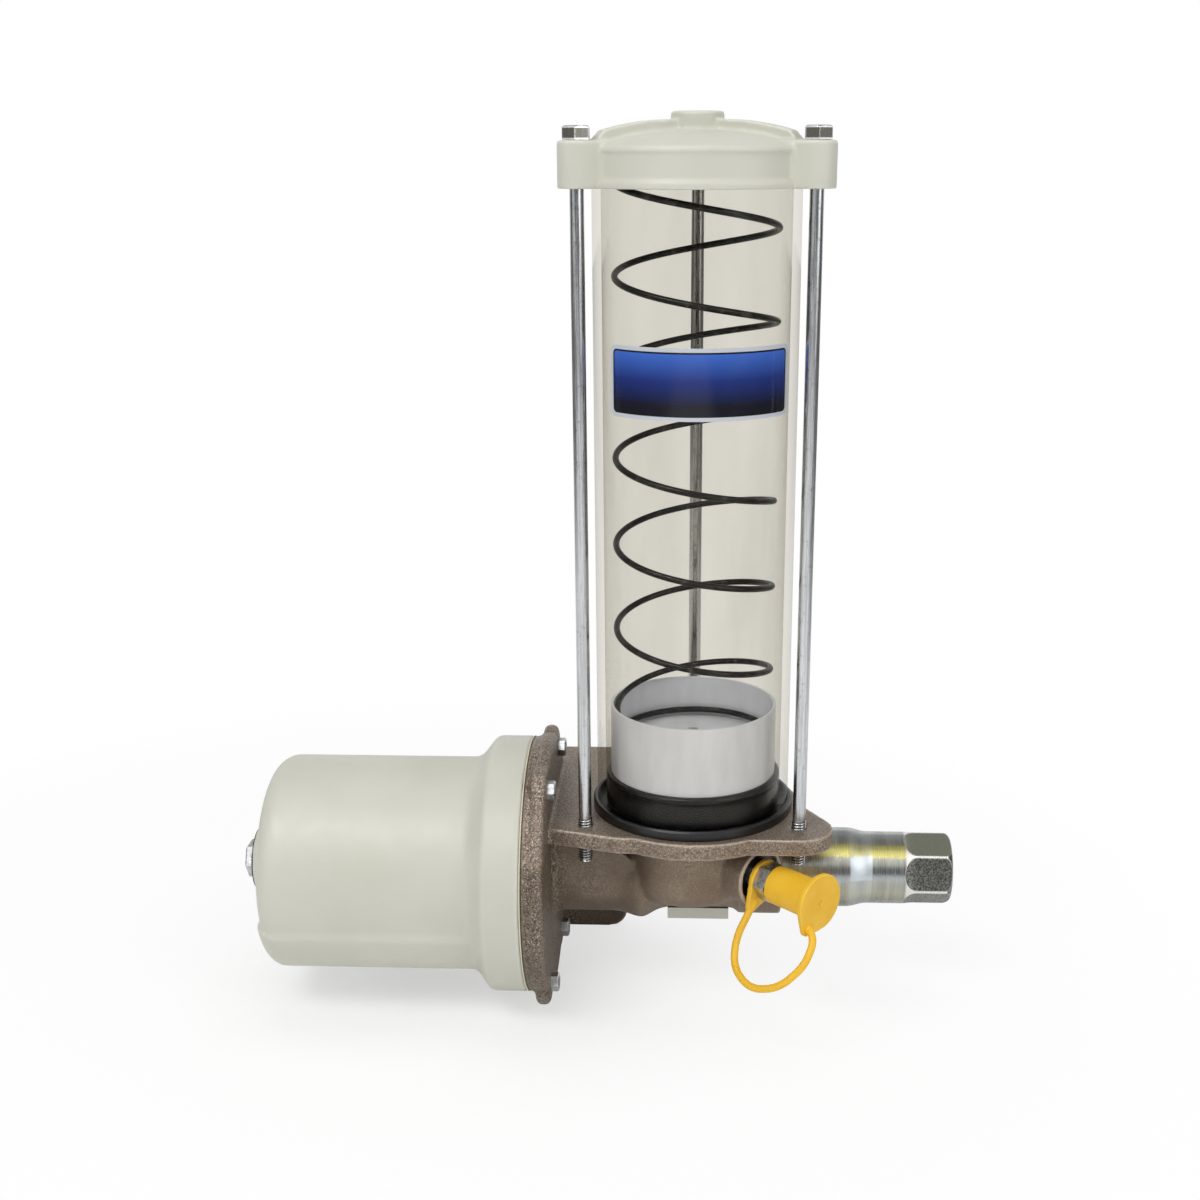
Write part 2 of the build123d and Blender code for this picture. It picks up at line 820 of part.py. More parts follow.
with BuildPart() as piston_seal:
    with BuildSketch(Plane.YZ.offset(piston_groove_x)):
        Circle(air_bore_r - running_gap)
        Circle(piston_groove_r, mode=Mode.SUBTRACT)
    extrude(amount=piston_groove_width)
    with BuildSketch(Plane.YZ.offset(piston_groove_x)):
        Circle(air_bore_r - 2)
        Circle(piston_groove_r + 2, mode=Mode.SUBTRACT)
    extrude(amount=3, mode=Mode.SUBTRACT)

piston_seal.part.label = "piston_seal"
export_step(piston_seal.part, "parts/piston_seal.step")

with BuildPart() as piston_nut:
    with BuildSketch(Plane.YZ.offset(piston_left_x + nut_pocket_depth)):
        RegularPolygon(8.5, 6, major_radius=False)
        Circle(plunger_stub_r + running_gap, mode=Mode.SUBTRACT)
    extrude(amount=-6)

piston_nut.part.label = "piston_nut"
export_step(piston_nut.part, "parts/piston_nut.step")

with BuildPart() as plunger:
    with BuildSketch(Plane.XZ):
        with BuildLine():
            Polyline(
                (piston_left_x + 0.5, 0),
                (piston_left_x + 0.5, plunger_stub_r),
                (piston_right_x + piston_hub_length, plunger_stub_r),
                (piston_right_x + piston_hub_length, plunger_r),
                (plunger_tip_x - 1, plunger_r),
                (plunger_tip_x, plunger_r - 1),
                (plunger_tip_x, 0),
                close=True,
            )
        make_face()
    revolve(axis=Axis.X)

plunger.part.label = "plunger"
export_step(plunger.part, "parts/plunger.step")

return_start_x = piston_right_x + return_wire_r + 0.3
return_length = skirt_face_x + gasket_thickness - return_wire_r - 0.3 - return_start_x
with BuildPart() as return_spring:
    with BuildLine() as return_wire:
        Helix(
            pitch=return_length / return_turns,
            height=return_length,
            radius=return_coil_r,
            center=(return_start_x, 0, 0),
            direction=(1, 0, 0),
        )
    with BuildSketch(Plane(origin=return_wire.line @ 0, z_dir=return_wire.line % 0)):
        Circle(return_wire_r)
    sweep()

return_spring.part.label = "return_spring"
export_step(return_spring.part, "parts/return_spring.step")


# ---------------------------------------------------------------- reservoir

with BuildPart() as reservoir_tube:
    with BuildSketch(Plane.XY.offset(tube_bottom_z)):
        with Locations((reservoir_x, 0)):
            Circle(tube_r)
            Circle(tube_r - tube_wall, mode=Mode.SUBTRACT)
    extrude(amount=tube_top_z - tube_bottom_z)

reservoir_tube.part.label = "reservoir_tube"
export_step(reservoir_tube.part, "parts/reservoir_tube.step")

# Rubber ring with a lip around the tube's foot
with BuildPart() as base_gasket:
    with BuildSketch(reservoir_section):
        with BuildLine():
            Polyline(
                (base_gasket_inner_r, plate_top_z),
                (base_gasket_outer_r, plate_top_z),
                (base_gasket_outer_r, base_lip_top_z - 1),
                (base_gasket_outer_r - 1, base_lip_top_z),
                (tube_r + running_gap, base_lip_top_z),
                (tube_r + running_gap, tube_bottom_z),
                (base_gasket_inner_r, tube_bottom_z),
                close=True,
            )
        make_face()
    revolve(axis=reservoir_axis)

base_gasket.part.label = "base_gasket"
export_step(base_gasket.part, "parts/base_gasket.step")

with BuildPart() as lid_gasket:
    with BuildSketch(Plane.XY.offset(tube_top_z)):
        with Locations((reservoir_x, 0)):
            Circle(tube_r)
            Circle(tube_r - tube_wall - 1, mode=Mode.SUBTRACT)
    extrude(amount=lid_gasket_thickness)

lid_gasket.part.label = "lid_gasket"
export_step(lid_gasket.part, "parts/lid_gasket.step")

# Lid casting: domed cap, three bolt lugs, three ribs and a centre boss
with BuildPart() as reservoir_lid:
    # Lugs
    with BuildSketch(Plane.XY.offset(lid_bottom_z)):
        with Locations((reservoir_x, 0)):
            with PolarLocations(tie_bolt_pitch_r, tie_bolt_count, start_angle=tie_bolt_start):
                Circle(lug_r)
            with PolarLocations(tie_bolt_pitch_r / 2, tie_bolt_count, start_angle=tie_bolt_start):
                Rectangle(tie_bolt_pitch_r, 2 * lug_r)
    extrude(amount=lug_top_z - lid_bottom_z)
    fillet(reservoir_lid.faces().sort_by(Axis.Z)[-1].edges(), 1.5)

    # Domed body
    with BuildSketch(reservoir_section) as dome_outline:
        with BuildLine():
            Polyline(
                (0, lid_bottom_z),
                (lid_band_r, lid_bottom_z),
                (lid_band_r, lid_band_top_z),
                (lid_r, lid_band_top_z + 0.8),
                (lid_r, lid_shoulder_z),
            )
            ThreePointArc(
                (lid_r, lid_shoulder_z),
                (lid_boss_r + 22, dome_middle_z),
                (lid_boss_r, dome_top_z),
            )
            Polyline(
                (lid_boss_r, dome_top_z),
                (lid_boss_r - lid_boss_taper, lid_boss_top_z),
                (0, lid_boss_top_z),
                (0, lid_bottom_z),
            )
        make_face()
        fillet(near(dome_outline, lid_r, lid_shoulder_z), 3)
        fillet(near(dome_outline, lid_boss_r - lid_boss_taper, lid_boss_top_z), 1.5)
    revolve(axis=reservoir_axis)

    # Ribs from the boss to the lugs
    for index in range(tie_bolt_count):
        angle = tie_bolt_start + 360 / tie_bolt_count * index
        with BuildSketch(upright(angle)):
            with BuildLine():
                Polyline((rib_end_r, lid_shoulder_z), (rib_end_r, lid_rib_foot_z), (0, lid_rib_foot_z))
                Polyline((0, lid_rib_foot_z), (0, rib_top_z), (lid_boss_r, rib_top_z))
                ThreePointArc((lid_boss_r, rib_top_z), rib_middle, rib_knee)
                Line(rib_knee, (rib_end_r, lid_shoulder_z))
            make_face()
        extrude(amount=rib_width / 2, both=True)

    # Shallow panels in the wall between the lugs
    for index in range(tie_bolt_count):
        angle = tie_bolt_start + 360 / tie_bolt_count * index + lid_panel_margin
        with BuildSketch(upright(angle)):
            with Locations((lid_r, (lid_panel_bottom_z + lid_panel_top_z) / 2)):
                Rectangle(2 * lid_panel_depth, lid_panel_top_z - lid_panel_bottom_z)
        revolve(
            axis=reservoir_axis,
            revolution_arc=360 / tie_bolt_count - 2 * lid_panel_margin,
            mode=Mode.SUBTRACT,
        )

    # Socket of the tube, spring seat, vent hole and bolt holes
    with BuildSketch(reservoir_section):
        with BuildLine():
            Polyline(
                (0, lid_bottom_z),
                (tube_r + 0.2, lid_bottom_z),
                (tube_r + 0.2, tube_top_z + lid_gasket_thickness),
                (lid_seat_r, tube_top_z + lid_gasket_thickness),
                (lid_seat_r, lid_ceiling_z),
                (vent_r + running_gap, lid_ceiling_z),
                (vent_r + running_gap, lid_boss_top_z),
                (0, lid_boss_top_z),
                close=True,
            )
        make_face()
    revolve(axis=reservoir_axis, mode=Mode.SUBTRACT)
    with BuildSketch(Plane.XY.offset(lid_bottom_z)):
        with Locations((reservoir_x, 0)):
            with PolarLocations(tie_bolt_pitch_r, tie_bolt_count, start_angle=tie_bolt_start):
                Circle(tie_thread_r + 0.2)
    extrude(amount=lug_top_z - lid_bottom_z, mode=Mode.SUBTRACT)

reservoir_lid.part.label = "reservoir_lid"
export_step(reservoir_lid.part, "parts/reservoir_lid.step")

# Vent plug, sunk in the lid's boss
with BuildPart() as vent_plug:
    with BuildSketch(Plane.XY.offset(lid_boss_top_z - 1)):
        with Locations((reservoir_x, 0)):
            Circle(vent_r)
            Circle(vent_hole_r, mode=Mode.SUBTRACT)
    extrude(amount=-vent_length)
    with BuildSketch(Plane.XY.offset(lid_boss_top_z - 1)):
        with Locations((reservoir_x, 0)):
            RegularPolygon(3, 6, major_radius=False)
    extrude(amount=-4, mode=Mode.SUBTRACT)

vent_plug.part.label = "vent_plug"
export_step(vent_plug.part, "parts/vent_plug.step")

# Three tie bolts through the lid's lugs into the base plate
with BuildPart() as tie_bolts:
    with BuildSketch(Plane.XY.offset(lug_top_z)):
        with Locations((reservoir_x, 0)):
            with PolarLocations(tie_bolt_pitch_r, tie_bolt_count, start_angle=tie_bolt_start):
                RegularPolygon(tie_head_flats / 2, 6, major_radius=False)
    extrude(amount=tie_head_height)
    chamfer(tie_bolts.faces().group_by(Axis.Z)[-1].edges(), tie_head_chamfer)
    for radius, top_z, bottom_z in (
        (tie_shank_r, lug_top_z, plate_top_z),
        (tie_thread_r, tie_thread_top_z, tie_bottom_z),
    ):
        with BuildSketch(Plane.XY.offset(bottom_z)):
            with Locations((reservoir_x, 0)):
                with PolarLocations(tie_bolt_pitch_r, tie_bolt_count, start_angle=tie_bolt_start):
                    Circle(radius)
        extrude(amount=top_z - bottom_z)
    chamfer(tie_bolts.faces().group_by(Axis.Z)[0].edges(), 0.8)

tie_bolts.part.label = "tie_bolts"
export_step(tie_bolts.part, "parts/tie_bolts.step")

# Bare nameplate bent round the tube
with BuildPart() as nameplate:
    with BuildSketch(upright(nameplate_start_angle)):
        with Locations((tube_r + running_gap, nameplate_bottom_z)):
            Rectangle(nameplate_thickness, nameplate_height, align=(Align.MIN, Align.MIN))
    revolve(axis=reservoir_axis, revolution_arc=nameplate_arc)
    corners = nameplate.edges().filter_by(lambda e: abs(e.length - nameplate_thickness) < 0.01)
    fillet(corners, 4)

nameplate.part.label = "nameplate"
export_step(nameplate.part, "parts/nameplate.step")


# ---------------------------------------------------------------- follower

with BuildPart() as follower_cup:
    with BuildSketch(reservoir_section):
        with BuildLine():
            Polyline(
                (follower_screw_r + running_gap, follower_bottom_z),
                (follower_boss_r, follower_bottom_z),
                (follower_boss_r, follower_floor_z - follower_floor),
                (follower_r - follower_wall, follower_floor_z - follower_floor),
                (follower_r - follower_wall, follower_bottom_z),
                (follower_r, follower_bottom_z),
                (follower_r, follower_rim_z),
                (follower_r - follower_wall, follower_rim_z),
                (follower_r - follower_wall, follower_floor_z),
                (follower_screw_r + running_gap, follower_floor_z),
                close=True,
            )
        make_face()
    revolve(axis=reservoir_axis)

follower_cup.part.label = "follower_cup"
export_step(follower_cup.part, "parts/follower_cup.step")

# Wiper seal: a disc with a deep outer lip
with BuildPart() as follower_seal:
    with BuildSketch(reservoir_section):
        with BuildLine():
            Polyline(
                (follower_screw_r + running_gap, follower_bottom_z),
                (follower_seal_r, follower_bottom_z),
                (follower_seal_r, follower_seal_bottom_z + 1.5),
                (follower_seal_r - 1.5, follower_seal_bottom_z),
                (follower_seal_r - 4, follower_seal_bottom_z),
                (follower_seal_r - 5, follower_bottom_z - seal_disc),
                (follower_screw_r + running_gap, follower_bottom_z - seal_disc),
                close=True,
            )
        make_face()
    revolve(axis=reservoir_axis)

follower_seal.part.label = "follower_seal"
export_step(follower_seal.part, "parts/follower_seal.step")

with BuildPart() as follower_backing_plate:
    with BuildSketch(Plane.XY.offset(follower_bottom_z - seal_disc)):
        with Locations((reservoir_x, 0)):
            Circle(30)
            Circle(follower_screw_r + running_gap, mode=Mode.SUBTRACT)
    extrude(amount=-backing_thickness)

follower_backing_plate.part.label = "follower_backing_plate"
export_step(follower_backing_plate.part, "parts/follower_backing_plate.step")

backing_bottom_z = follower_bottom_z - seal_disc - backing_thickness
with BuildPart() as follower_screw:
    with BuildSketch(Plane.XY.offset(backing_bottom_z)):
        with Locations((reservoir_x, 0)):
            RegularPolygon(5, 6, major_radius=False)
    extrude(amount=-4)
    with BuildSketch(Plane.XY.offset(backing_bottom_z)):
        with Locations((reservoir_x, 0)):
            Circle(follower_screw_r)
    extrude(amount=follower_floor_z + 7 - backing_bottom_z)

follower_screw.part.label = "follower_screw"
export_step(follower_screw.part, "parts/follower_screw.step")

with BuildPart() as follower_nut:
    with BuildSketch(Plane.XY.offset(follower_floor_z)):
        with Locations((reservoir_x, 0)):
            RegularPolygon(5, 6, major_radius=False)
            Circle(follower_screw_r + running_gap, mode=Mode.SUBTRACT)
    extrude(amount=5)

follower_nut.part.label = "follower_nut"
export_step(follower_nut.part, "parts/follower_nut.step")

# Left-handed spring: a closed coil at each end of the open turns
coil_bottom_z = follower_floor_z + spring_wire_r + 0.15
open_bottom_z = coil_bottom_z + closed_pitch
open_top_z = lid_ceiling_z - spring_wire_r - 0.05 - closed_pitch
open_height = open_top_z - open_bottom_z
open_turn = 360 * open_height / spring_pitch
with BuildPart() as follower_spring:
    for pitch, height, start_z, start_angle in (
        (closed_pitch, closed_pitch, coil_bottom_z, spring_start_angle),
        (spring_pitch, open_height, open_bottom_z, spring_start_angle),
        (closed_pitch, closed_pitch, open_top_z, spring_start_angle - open_turn),
    ):
        with BuildLine() as coil:
            Helix(
                pitch=pitch,
                height=height,
                radius=spring_coil_r,
                center=(reservoir_x, 0, start_z),
                lefthand=True,
            )
        turned_coil = coil.line.rotate(reservoir_axis, start_angle)
        with BuildSketch(Plane(origin=turned_coil @ 0, z_dir=turned_coil % 0)):
            Circle(spring_wire_r)
        sweep(path=turned_coil)

follower_spring.part.label = "follower_spring"
export_step(follower_spring.part, "parts/follower_spring.step")


# ---------------------------------------------------------------- bottom cover

with BuildPart() as bottom_cover_gasket:
    with BuildSketch(Plane.XY.offset(cover_seat_z)):
        with Locations((cover_x, 0)):
            Rectangle(cover_length, cover_width)
            Circle(clean_out_r, mode=Mode.SUBTRACT)
            with GridLocations(2 * cover_screw_x, 0, 2, 1):
                Circle(cover_screw_r + 0.2, mode=Mode.SUBTRACT)
    extrude(amount=-cover_gasket_thickness)

bottom_cover_gasket.part.label = "bottom_cover_gasket"
export_step(bottom_cover_gasket.part, "parts/bottom_cover_gasket.step")

with BuildPart() as bottom_cover:
    with BuildSketch(Plane.XY.offset(cover_seat_z - cover_gasket_thickness)):
        with Locations((cover_x, 0)):
            Rectangle(cover_length, cover_width)
            with GridLocations(2 * cover_screw_x, 0, 2, 1):
                Circle(cover_screw_r + 0.2, mode=Mode.SUBTRACT)
    extrude(amount=-cover_thickness)
    with BuildSketch(Plane.XY.offset(cover_bottom_z)):
        with Locations((cover_x, 0)):
            with GridLocations(2 * cover_screw_x, 0, 2, 1):
                Circle(cover_screw_head_r + 0.2)
    extrude(amount=cover_head_height + 0.2, mode=Mode.SUBTRACT)

bottom_cover.part.label = "bottom_cover"
export_step(bottom_cover.part, "parts/bottom_cover.step")

with BuildPart() as bottom_cover_screws:
    with BuildSketch(Plane.XY.offset(cover_bottom_z + 0.2)):
        with Locations((cover_x, 0)):
            with GridLocations(2 * cover_screw_x, 0, 2, 1):
                Circle(cover_screw_head_r)
    extrude(amount=cover_head_height)
    with BuildSketch(Plane.XY.offset(cover_bottom_z + 0.2)):
        with Locations((cover_x, 0)):
            with GridLocations(2 * cover_screw_x, 0, 2, 1):
                RegularPolygon(1.25, 6, major_radius=False)
    extrude(amount=1.6, mode=Mode.SUBTRACT)
    with BuildSketch(Plane.XY.offset(cover_bottom_z + 0.2 + cover_head_height)):
        with Locations((cover_x, 0)):
            with GridLocations(2 * cover_screw_x, 0, 2, 1):
                Circle(cover_screw_r - running_gap)
    extrude(amount=10)

bottom_cover_screws.part.label = "bottom_cover_screws"
export_step(bottom_cover_screws.part, "parts/bottom_cover_screws.step")


# ---------------------------------------------------------------- fill fitting and dust cap

with BuildPart() as fill_fitting_seal:
    with BuildSketch(fill_plane.offset(seal_pocket_floor)):
        Circle(seal_pocket_r - 0.1)
        Circle(fill_neck_r + running_gap, mode=Mode.SUBTRACT)
    extrude(amount=fill_seal_thickness)

fill_fitting_seal.part.label = "fill_fitting_seal"
export_step(fill_fitting_seal.part, "parts/fill_fitting_seal.step")

with BuildPart() as fill_fitting:
    with BuildSketch(fill_section):
        with BuildLine():
            Polyline(
                (fill_thread_start, fill_passage_r),
                (fill_thread_start, fill_thread_r - running_gap),
                (seal_pocket_floor, fill_thread_r - running_gap),
                (seal_pocket_floor, fill_neck_r),
                (fill_hex_start, fill_neck_r),
                (fill_hex_end, fill_neck_r),
                (fill_hex_end, fill_nipple_r),
                (fill_nipple_end - 1, fill_nipple_r),
                (fill_nipple_end, fill_nipple_r - 1),
                (fill_nipple_end, fill_passage_r),
                close=True,
            )
        make_face()
    revolve(axis=fill_axis)
    with BuildSketch(fill_plane.offset(fill_hex_start)):
        RegularPolygon(fill_flats / 2, 6, major_radius=False)
        Circle(fill_passage_r, mode=Mode.SUBTRACT)
    extrude(amount=fill_hex_end - fill_hex_start)

fill_fitting.part.label = "fill_fitting"
export_step(fill_fitting.part, "parts/fill_fitting.step")

# Moulded dust cap in one piece: end disc and neck ring, each with a tab that runs
# out into the strap, and the hollow body that covers the nipple
with BuildPart() as dust_cap:
    for start, thickness, radius, reach in (
        (cap_disc_start, cap_end - cap_disc_start, cap_disc_r, disc_tab_reach),
        (strap_ring_start, strap_ring_width, strap_ring_r, ring_tab_reach),
    ):
        with BuildSketch(fill_plane.offset(start)):
            Circle(radius)
            with PolarLocations(reach, 1, start_angle=270 - strap_turn):
                Circle(tab_end_r)
            make_hull()
        extrude(amount=thickness)
    with BuildLine(strap_plane) as strap_path:
        FilletPolyline(*strap_points, radius=bend_radii(strap_points))
    with BuildSketch(Plane(origin=strap_path.line @ 0, x_dir=fill_plane.z_dir, z_dir=strap_path.line % 0)):
        Circle(strap_r)
    sweep(path=strap_path.line)
    with BuildSketch(fill_plane.offset(cap_open_end)):
        Circle(cap_body_r)
    extrude(amount=cap_disc_start - cap_open_end)

    # Hole for the nipple, hole of the neck ring and the dimple in the end
    with BuildSketch(fill_plane.offset(cap_open_end)):
        Circle(cap_bore_r)
    extrude(amount=cap_disc_start - cap_open_end, mode=Mode.SUBTRACT)
    with BuildSketch(fill_plane.offset(strap_ring_start)):
        Circle(fill_neck_r + 0.3)
    extrude(amount=strap_ring_width, mode=Mode.SUBTRACT)
    with BuildSketch(fill_plane.offset(cap_end)):
        Circle(dimple_r)
    extrude(amount=-dimple_r, taper=30, mode=Mode.SUBTRACT)

dust_cap.part.label = "dust_cap"
export_step(dust_cap.part, "parts/dust_cap.step")
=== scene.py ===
import json
import math

import bmesh
import bpy
from mathutils import Matrix, Vector


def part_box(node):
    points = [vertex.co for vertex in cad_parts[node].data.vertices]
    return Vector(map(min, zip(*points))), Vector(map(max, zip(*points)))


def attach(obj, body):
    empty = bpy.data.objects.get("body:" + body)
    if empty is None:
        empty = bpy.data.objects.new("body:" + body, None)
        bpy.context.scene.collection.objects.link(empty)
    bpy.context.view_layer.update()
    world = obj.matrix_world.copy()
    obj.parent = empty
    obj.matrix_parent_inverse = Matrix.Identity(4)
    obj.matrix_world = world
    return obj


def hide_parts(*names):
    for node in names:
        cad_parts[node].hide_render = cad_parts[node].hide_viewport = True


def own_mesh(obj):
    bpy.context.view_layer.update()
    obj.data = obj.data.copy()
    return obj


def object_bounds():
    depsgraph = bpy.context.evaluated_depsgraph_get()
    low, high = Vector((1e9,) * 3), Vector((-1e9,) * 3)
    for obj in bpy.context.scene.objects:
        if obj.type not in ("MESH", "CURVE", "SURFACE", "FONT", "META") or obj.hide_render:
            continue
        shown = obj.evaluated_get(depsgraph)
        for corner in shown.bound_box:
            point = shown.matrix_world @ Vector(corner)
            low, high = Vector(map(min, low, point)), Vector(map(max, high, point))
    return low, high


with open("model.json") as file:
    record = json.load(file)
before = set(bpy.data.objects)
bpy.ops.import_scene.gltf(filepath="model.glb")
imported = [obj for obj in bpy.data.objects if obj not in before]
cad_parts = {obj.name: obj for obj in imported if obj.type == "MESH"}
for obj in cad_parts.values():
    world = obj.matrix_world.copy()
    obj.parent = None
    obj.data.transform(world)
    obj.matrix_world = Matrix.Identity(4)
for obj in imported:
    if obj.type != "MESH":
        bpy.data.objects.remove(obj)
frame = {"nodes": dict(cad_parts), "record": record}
cad_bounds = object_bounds()

# Everything is in metres, in the frame of the CAD model: +X along the pump axis out
# of the outlet, +Y towards the wall, +Z up along the reservoir.

MM = 0.001
node_of = frame["nodes"]


def middle(node):
    """Centre of a CAD node's box."""
    low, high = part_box(node)
    return (low + high) / 2


reservoir_x = middle("reservoir_tube").x
lid_boss_rise = 14.1 * MM
lug_top_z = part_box("reservoir_lid")[1].z - lid_boss_rise
tie_pitch_r = 68.1 * MM
tie_head_flats = 13 * MM
bolt_low, bolt_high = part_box("tie_bolts")
thread_reach = 4.5 * MM
thread_top_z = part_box("base_gasket")[0].z + thread_reach
nameplate_r = 54.5 * MM
nameplate_start = math.radians(-141.6)
nameplate_arc = math.radians(110.8)
floor_z = cad_bounds[0][2]


# ---------------------------------------------------------------- camera

frame_px = 1200
focal_px = 1612.14
view_centre_px = (647.03, 650.70)
eye = Vector((-0.140875, -0.856451, 0.396179))
yaw = -0.0386
pitch = 0.3017
roll = -0.0015

camera_data = bpy.data.cameras.new("camera")
camera_data.sensor_width = 36
camera_data.lens = camera_data.sensor_width * focal_px / frame_px
camera_data.shift_x = 0.5 - view_centre_px[0] / frame_px
camera_data.shift_y = view_centre_px[1] / frame_px - 0.5
camera_data.clip_start = 0.05
camera_data.clip_end = 50
camera = bpy.data.objects.new("camera", camera_data)
camera.matrix_world = (
    Matrix.Translation(eye)
    @ Matrix.Rotation(-yaw, 4, "Z")
    @ Matrix.Rotation(math.pi / 2 - pitch, 4, "X")
    @ Matrix.Rotation(roll, 4, "Z")
)
bpy.context.scene.collection.objects.link(camera)
bpy.context.scene.camera = camera


# ---------------------------------------------------------------- shader helpers

class Finish:
    """A material with a Principled shader, and short calls that add nodes to it."""

    def __init__(self, name, **settings):
        self.material = bpy.data.materials.new(name)
        self.material.use_nodes = True
        self.tree = self.material.node_tree
        self.shader = self.tree.nodes["Principled BSDF"]
        self.out = self.tree.nodes["Material Output"]
        self.place = self.tree.nodes.new("ShaderNodeTexCoord").outputs["Object"]
        for key, value in settings.items():
            self.set(self.shader, key.replace("_", " ").title().replace("Ior", "IOR"), value)

    def set(self, node, socket, value):
        """Sets an input to a value, or links it to another node's output."""
        if isinstance(value, bpy.types.NodeSocket):
            self.tree.links.new(value, node.inputs[socket])
        elif node.inputs[socket].type == "RGBA" and len(value) == 3:
            node.inputs[socket].default_value = (*value, 1)
        else:
            node.inputs[socket].default_value = value

    def node(self, kind, inputs, output=0, **settings):
        """A new node's output."""
        node = self.tree.nodes.new("ShaderNode" + kind)
        for key, value in settings.items():
            setattr(node, key, value)
        for socket, value in inputs.items():
            self.set(node, socket, value)
        return node.outputs[output]

    def scaled(self, x, y, z, place=None):
        """Object coordinates stretched by a factor along each axis."""
        return self.node("Mapping", {"Vector": place or self.place, "Scale": (x, y, z)})

    def noise(self, size, detail=3, rough=0.5, place=None):
        """Soft noise, 0 to 1, with blobs of the given size in metres."""
        place = place or self.place
        inputs = {"Vector": place, "Scale": 1 / size, "Detail": detail, "Roughness": rough}
        return self.node("TexNoise", inputs, "Fac")

    def cells(self, size):
        """Distance to scattered cell points, cells of the given size in metres."""
        return self.node("TexVoronoi", {"Vector": self.place, "Scale": 1 / size}, "Distance")

    def math(self, operation, a, b=0.5, c=0.5, **settings):
        """Arithmetic on up to three values, each a number or another node's output."""
        return self.node("Math", {0: a, 1: b, 2: c}, operation=operation, **settings)

    def span(self, value, low, high, to_low=0.0, to_high=1.0):
        """A value taken from one range to another, clamped, with soft ends."""
        inputs = {"Value": value, "From Min": low, "From Max": high, "To Min": to_low, "To Max": to_high}
        return self.node("MapRange", inputs, interpolation_type="SMOOTHSTEP")

    def mix(self, factor, a, b):
        """Colour between a and b."""
        return self.node("Mix", {"Factor": factor, 6: a, 7: b}, 2, data_type="RGBA")

    def axes(self):
        """The three object coordinates."""
        node = self.tree.nodes.new("ShaderNodeSeparateXYZ")
        self.set(node, 0, self.place)
        return node.outputs

    def soft_normal(self, radius):
        """Shading normal with edges rounded over a radius."""
        return self.node("Bevel", {"Radius": radius}, samples=4)

    def edges(self, radius):
        """1 along edges, 0 on open faces."""
        soft = self.soft_normal(radius)
        sharp = self.node("NewGeometry", {}, "True Normal")
        bend_cosine = self.node("VectorMath", {0: soft, 1: sharp}, "Value", operation="DOT_PRODUCT")
        open_face, full_edge = 0.995, 0.85
        return self.span(bend_cosine, open_face, full_edge)

    def crests(self, low, high):
        """1 on the outer bends of a fine mesh, 0 on its open faces, for low under high. With
        low over high it is 1 on the inner bends."""
        return self.span(self.node("NewGeometry", {}, "Pointiness"), low, high)

    def bump(self, height, depth, normal=None):
        """Bumps as deep as depth, in metres, on the face's normal or on a given one."""
        inputs = {"Height": height, "Distance": depth, "Strength": 1.0}
        if normal:
            inputs["Normal"] = normal
        self.set(self.shader, "Normal", self.node("Bump", inputs))

    def colour(self, value):
        self.set(self.shader, "Base Color", value)

    def roughness(self, value):
        self.set(self.shader, "Roughness", value)


def linear(red, green, blue):
    """Scene colour of a display colour given as 0 to 255, by the sRGB curve."""
    shares = [value / 255 for value in (red, green, blue)]
    return tuple(v / 12.92 if v <= 0.04045 else ((v + 0.055) / 1.055) ** 2.4 for v in shares)


# ---------------------------------------------------------------- finishes

def cast_brown():
    """Sand casting with a bronze-brown coat: coarse on the flange and plate, with dark pits
    deepened by painted shade and with painted glints, finer on the bowl, rubbed bright on its
    outer bends partly as a painted highlight, and darkened with painted shade under the plate
    towards the flange and the wall."""
    f = Finish("cast_brown", metallic=0.5)
    flange_x = reservoir_x - 68 * MM
    recess_x = reservoir_x - 14 * MM
    wall_y = 45 * MM
    plate_z = 27 * MM
    grain = f.noise(1.7 * MM, 4, 0.66)
    fine = f.noise(0.7 * MM, 3, 0.6)
    painted_glint = f.span(f.noise(0.8 * MM, 2), 0.56, 0.64)
    cloud = f.noise(24 * MM, 3)
    x, y, z = f.axes()
    flange = f.span(x, flange_x, flange_x - 10 * MM, 0.0, 0.5)
    plate = f.span(z, plate_z, plate_z + 4 * MM, 0.0, 0.3)
    patches = f.span(cloud, 0.45, 0.7, 0.1, 0.35)
    coarse = f.math("ADD", f.math("MAXIMUM", flange, plate), patches, use_clamp=True)
    tone = f.mix(f.span(cloud, 0.35, 0.65), linear(127, 110, 93), linear(145, 129, 111))
    tone = f.mix(f.math("MULTIPLY", plate, 0.9), tone, linear(152, 140, 128))
    # Dark pits in the coarse grain, deepened with painted shade.
    pits_and_shade = f.math("MULTIPLY", coarse, f.span(grain, 0.55, 0.42, 0.0, 0.95))
    tone = f.mix(pits_and_shade, tone, linear(48, 39, 32))
    # Painted glints: bright specks in the colour as painted highlights on the coarse grain.
    tone = f.mix(f.math("MULTIPLY", coarse, painted_glint), tone, linear(224, 211, 198))
    # Outer bends lighter: rubbed bright, partly a painted highlight.
    tone = f.mix(f.math("MULTIPLY", f.crests(0.512, 0.56), 0.55), tone, linear(216, 200, 182))
    # Painted shade under the plate, towards the flange and towards the wall.
    under = f.span(z, plate_z + 2 * MM, plate_z - 1 * MM)
    recess_shade = f.math("MULTIPLY", f.span(x, recess_x, recess_x - 26 * MM, 0.0, 0.3), under)
    wall_shade = f.math("MULTIPLY", f.span(y, wall_y, wall_y + 30 * MM, 0.0, 0.4), under)
    tone = f.mix(f.math("MAXIMUM", recess_shade, wall_shade), tone, linear(40, 32, 22))
    f.colour(tone)
    f.roughness(f.span(fine, 0.3, 0.7, 0.46, 0.3))
    grain_share = f.math("ADD", coarse, 0.2)
    relief = f.math("MULTIPLY_ADD", grain, grain_share, f.math("MULTIPLY", fine, 0.35))
    f.bump(relief, 0.8 * MM)
    return f.material


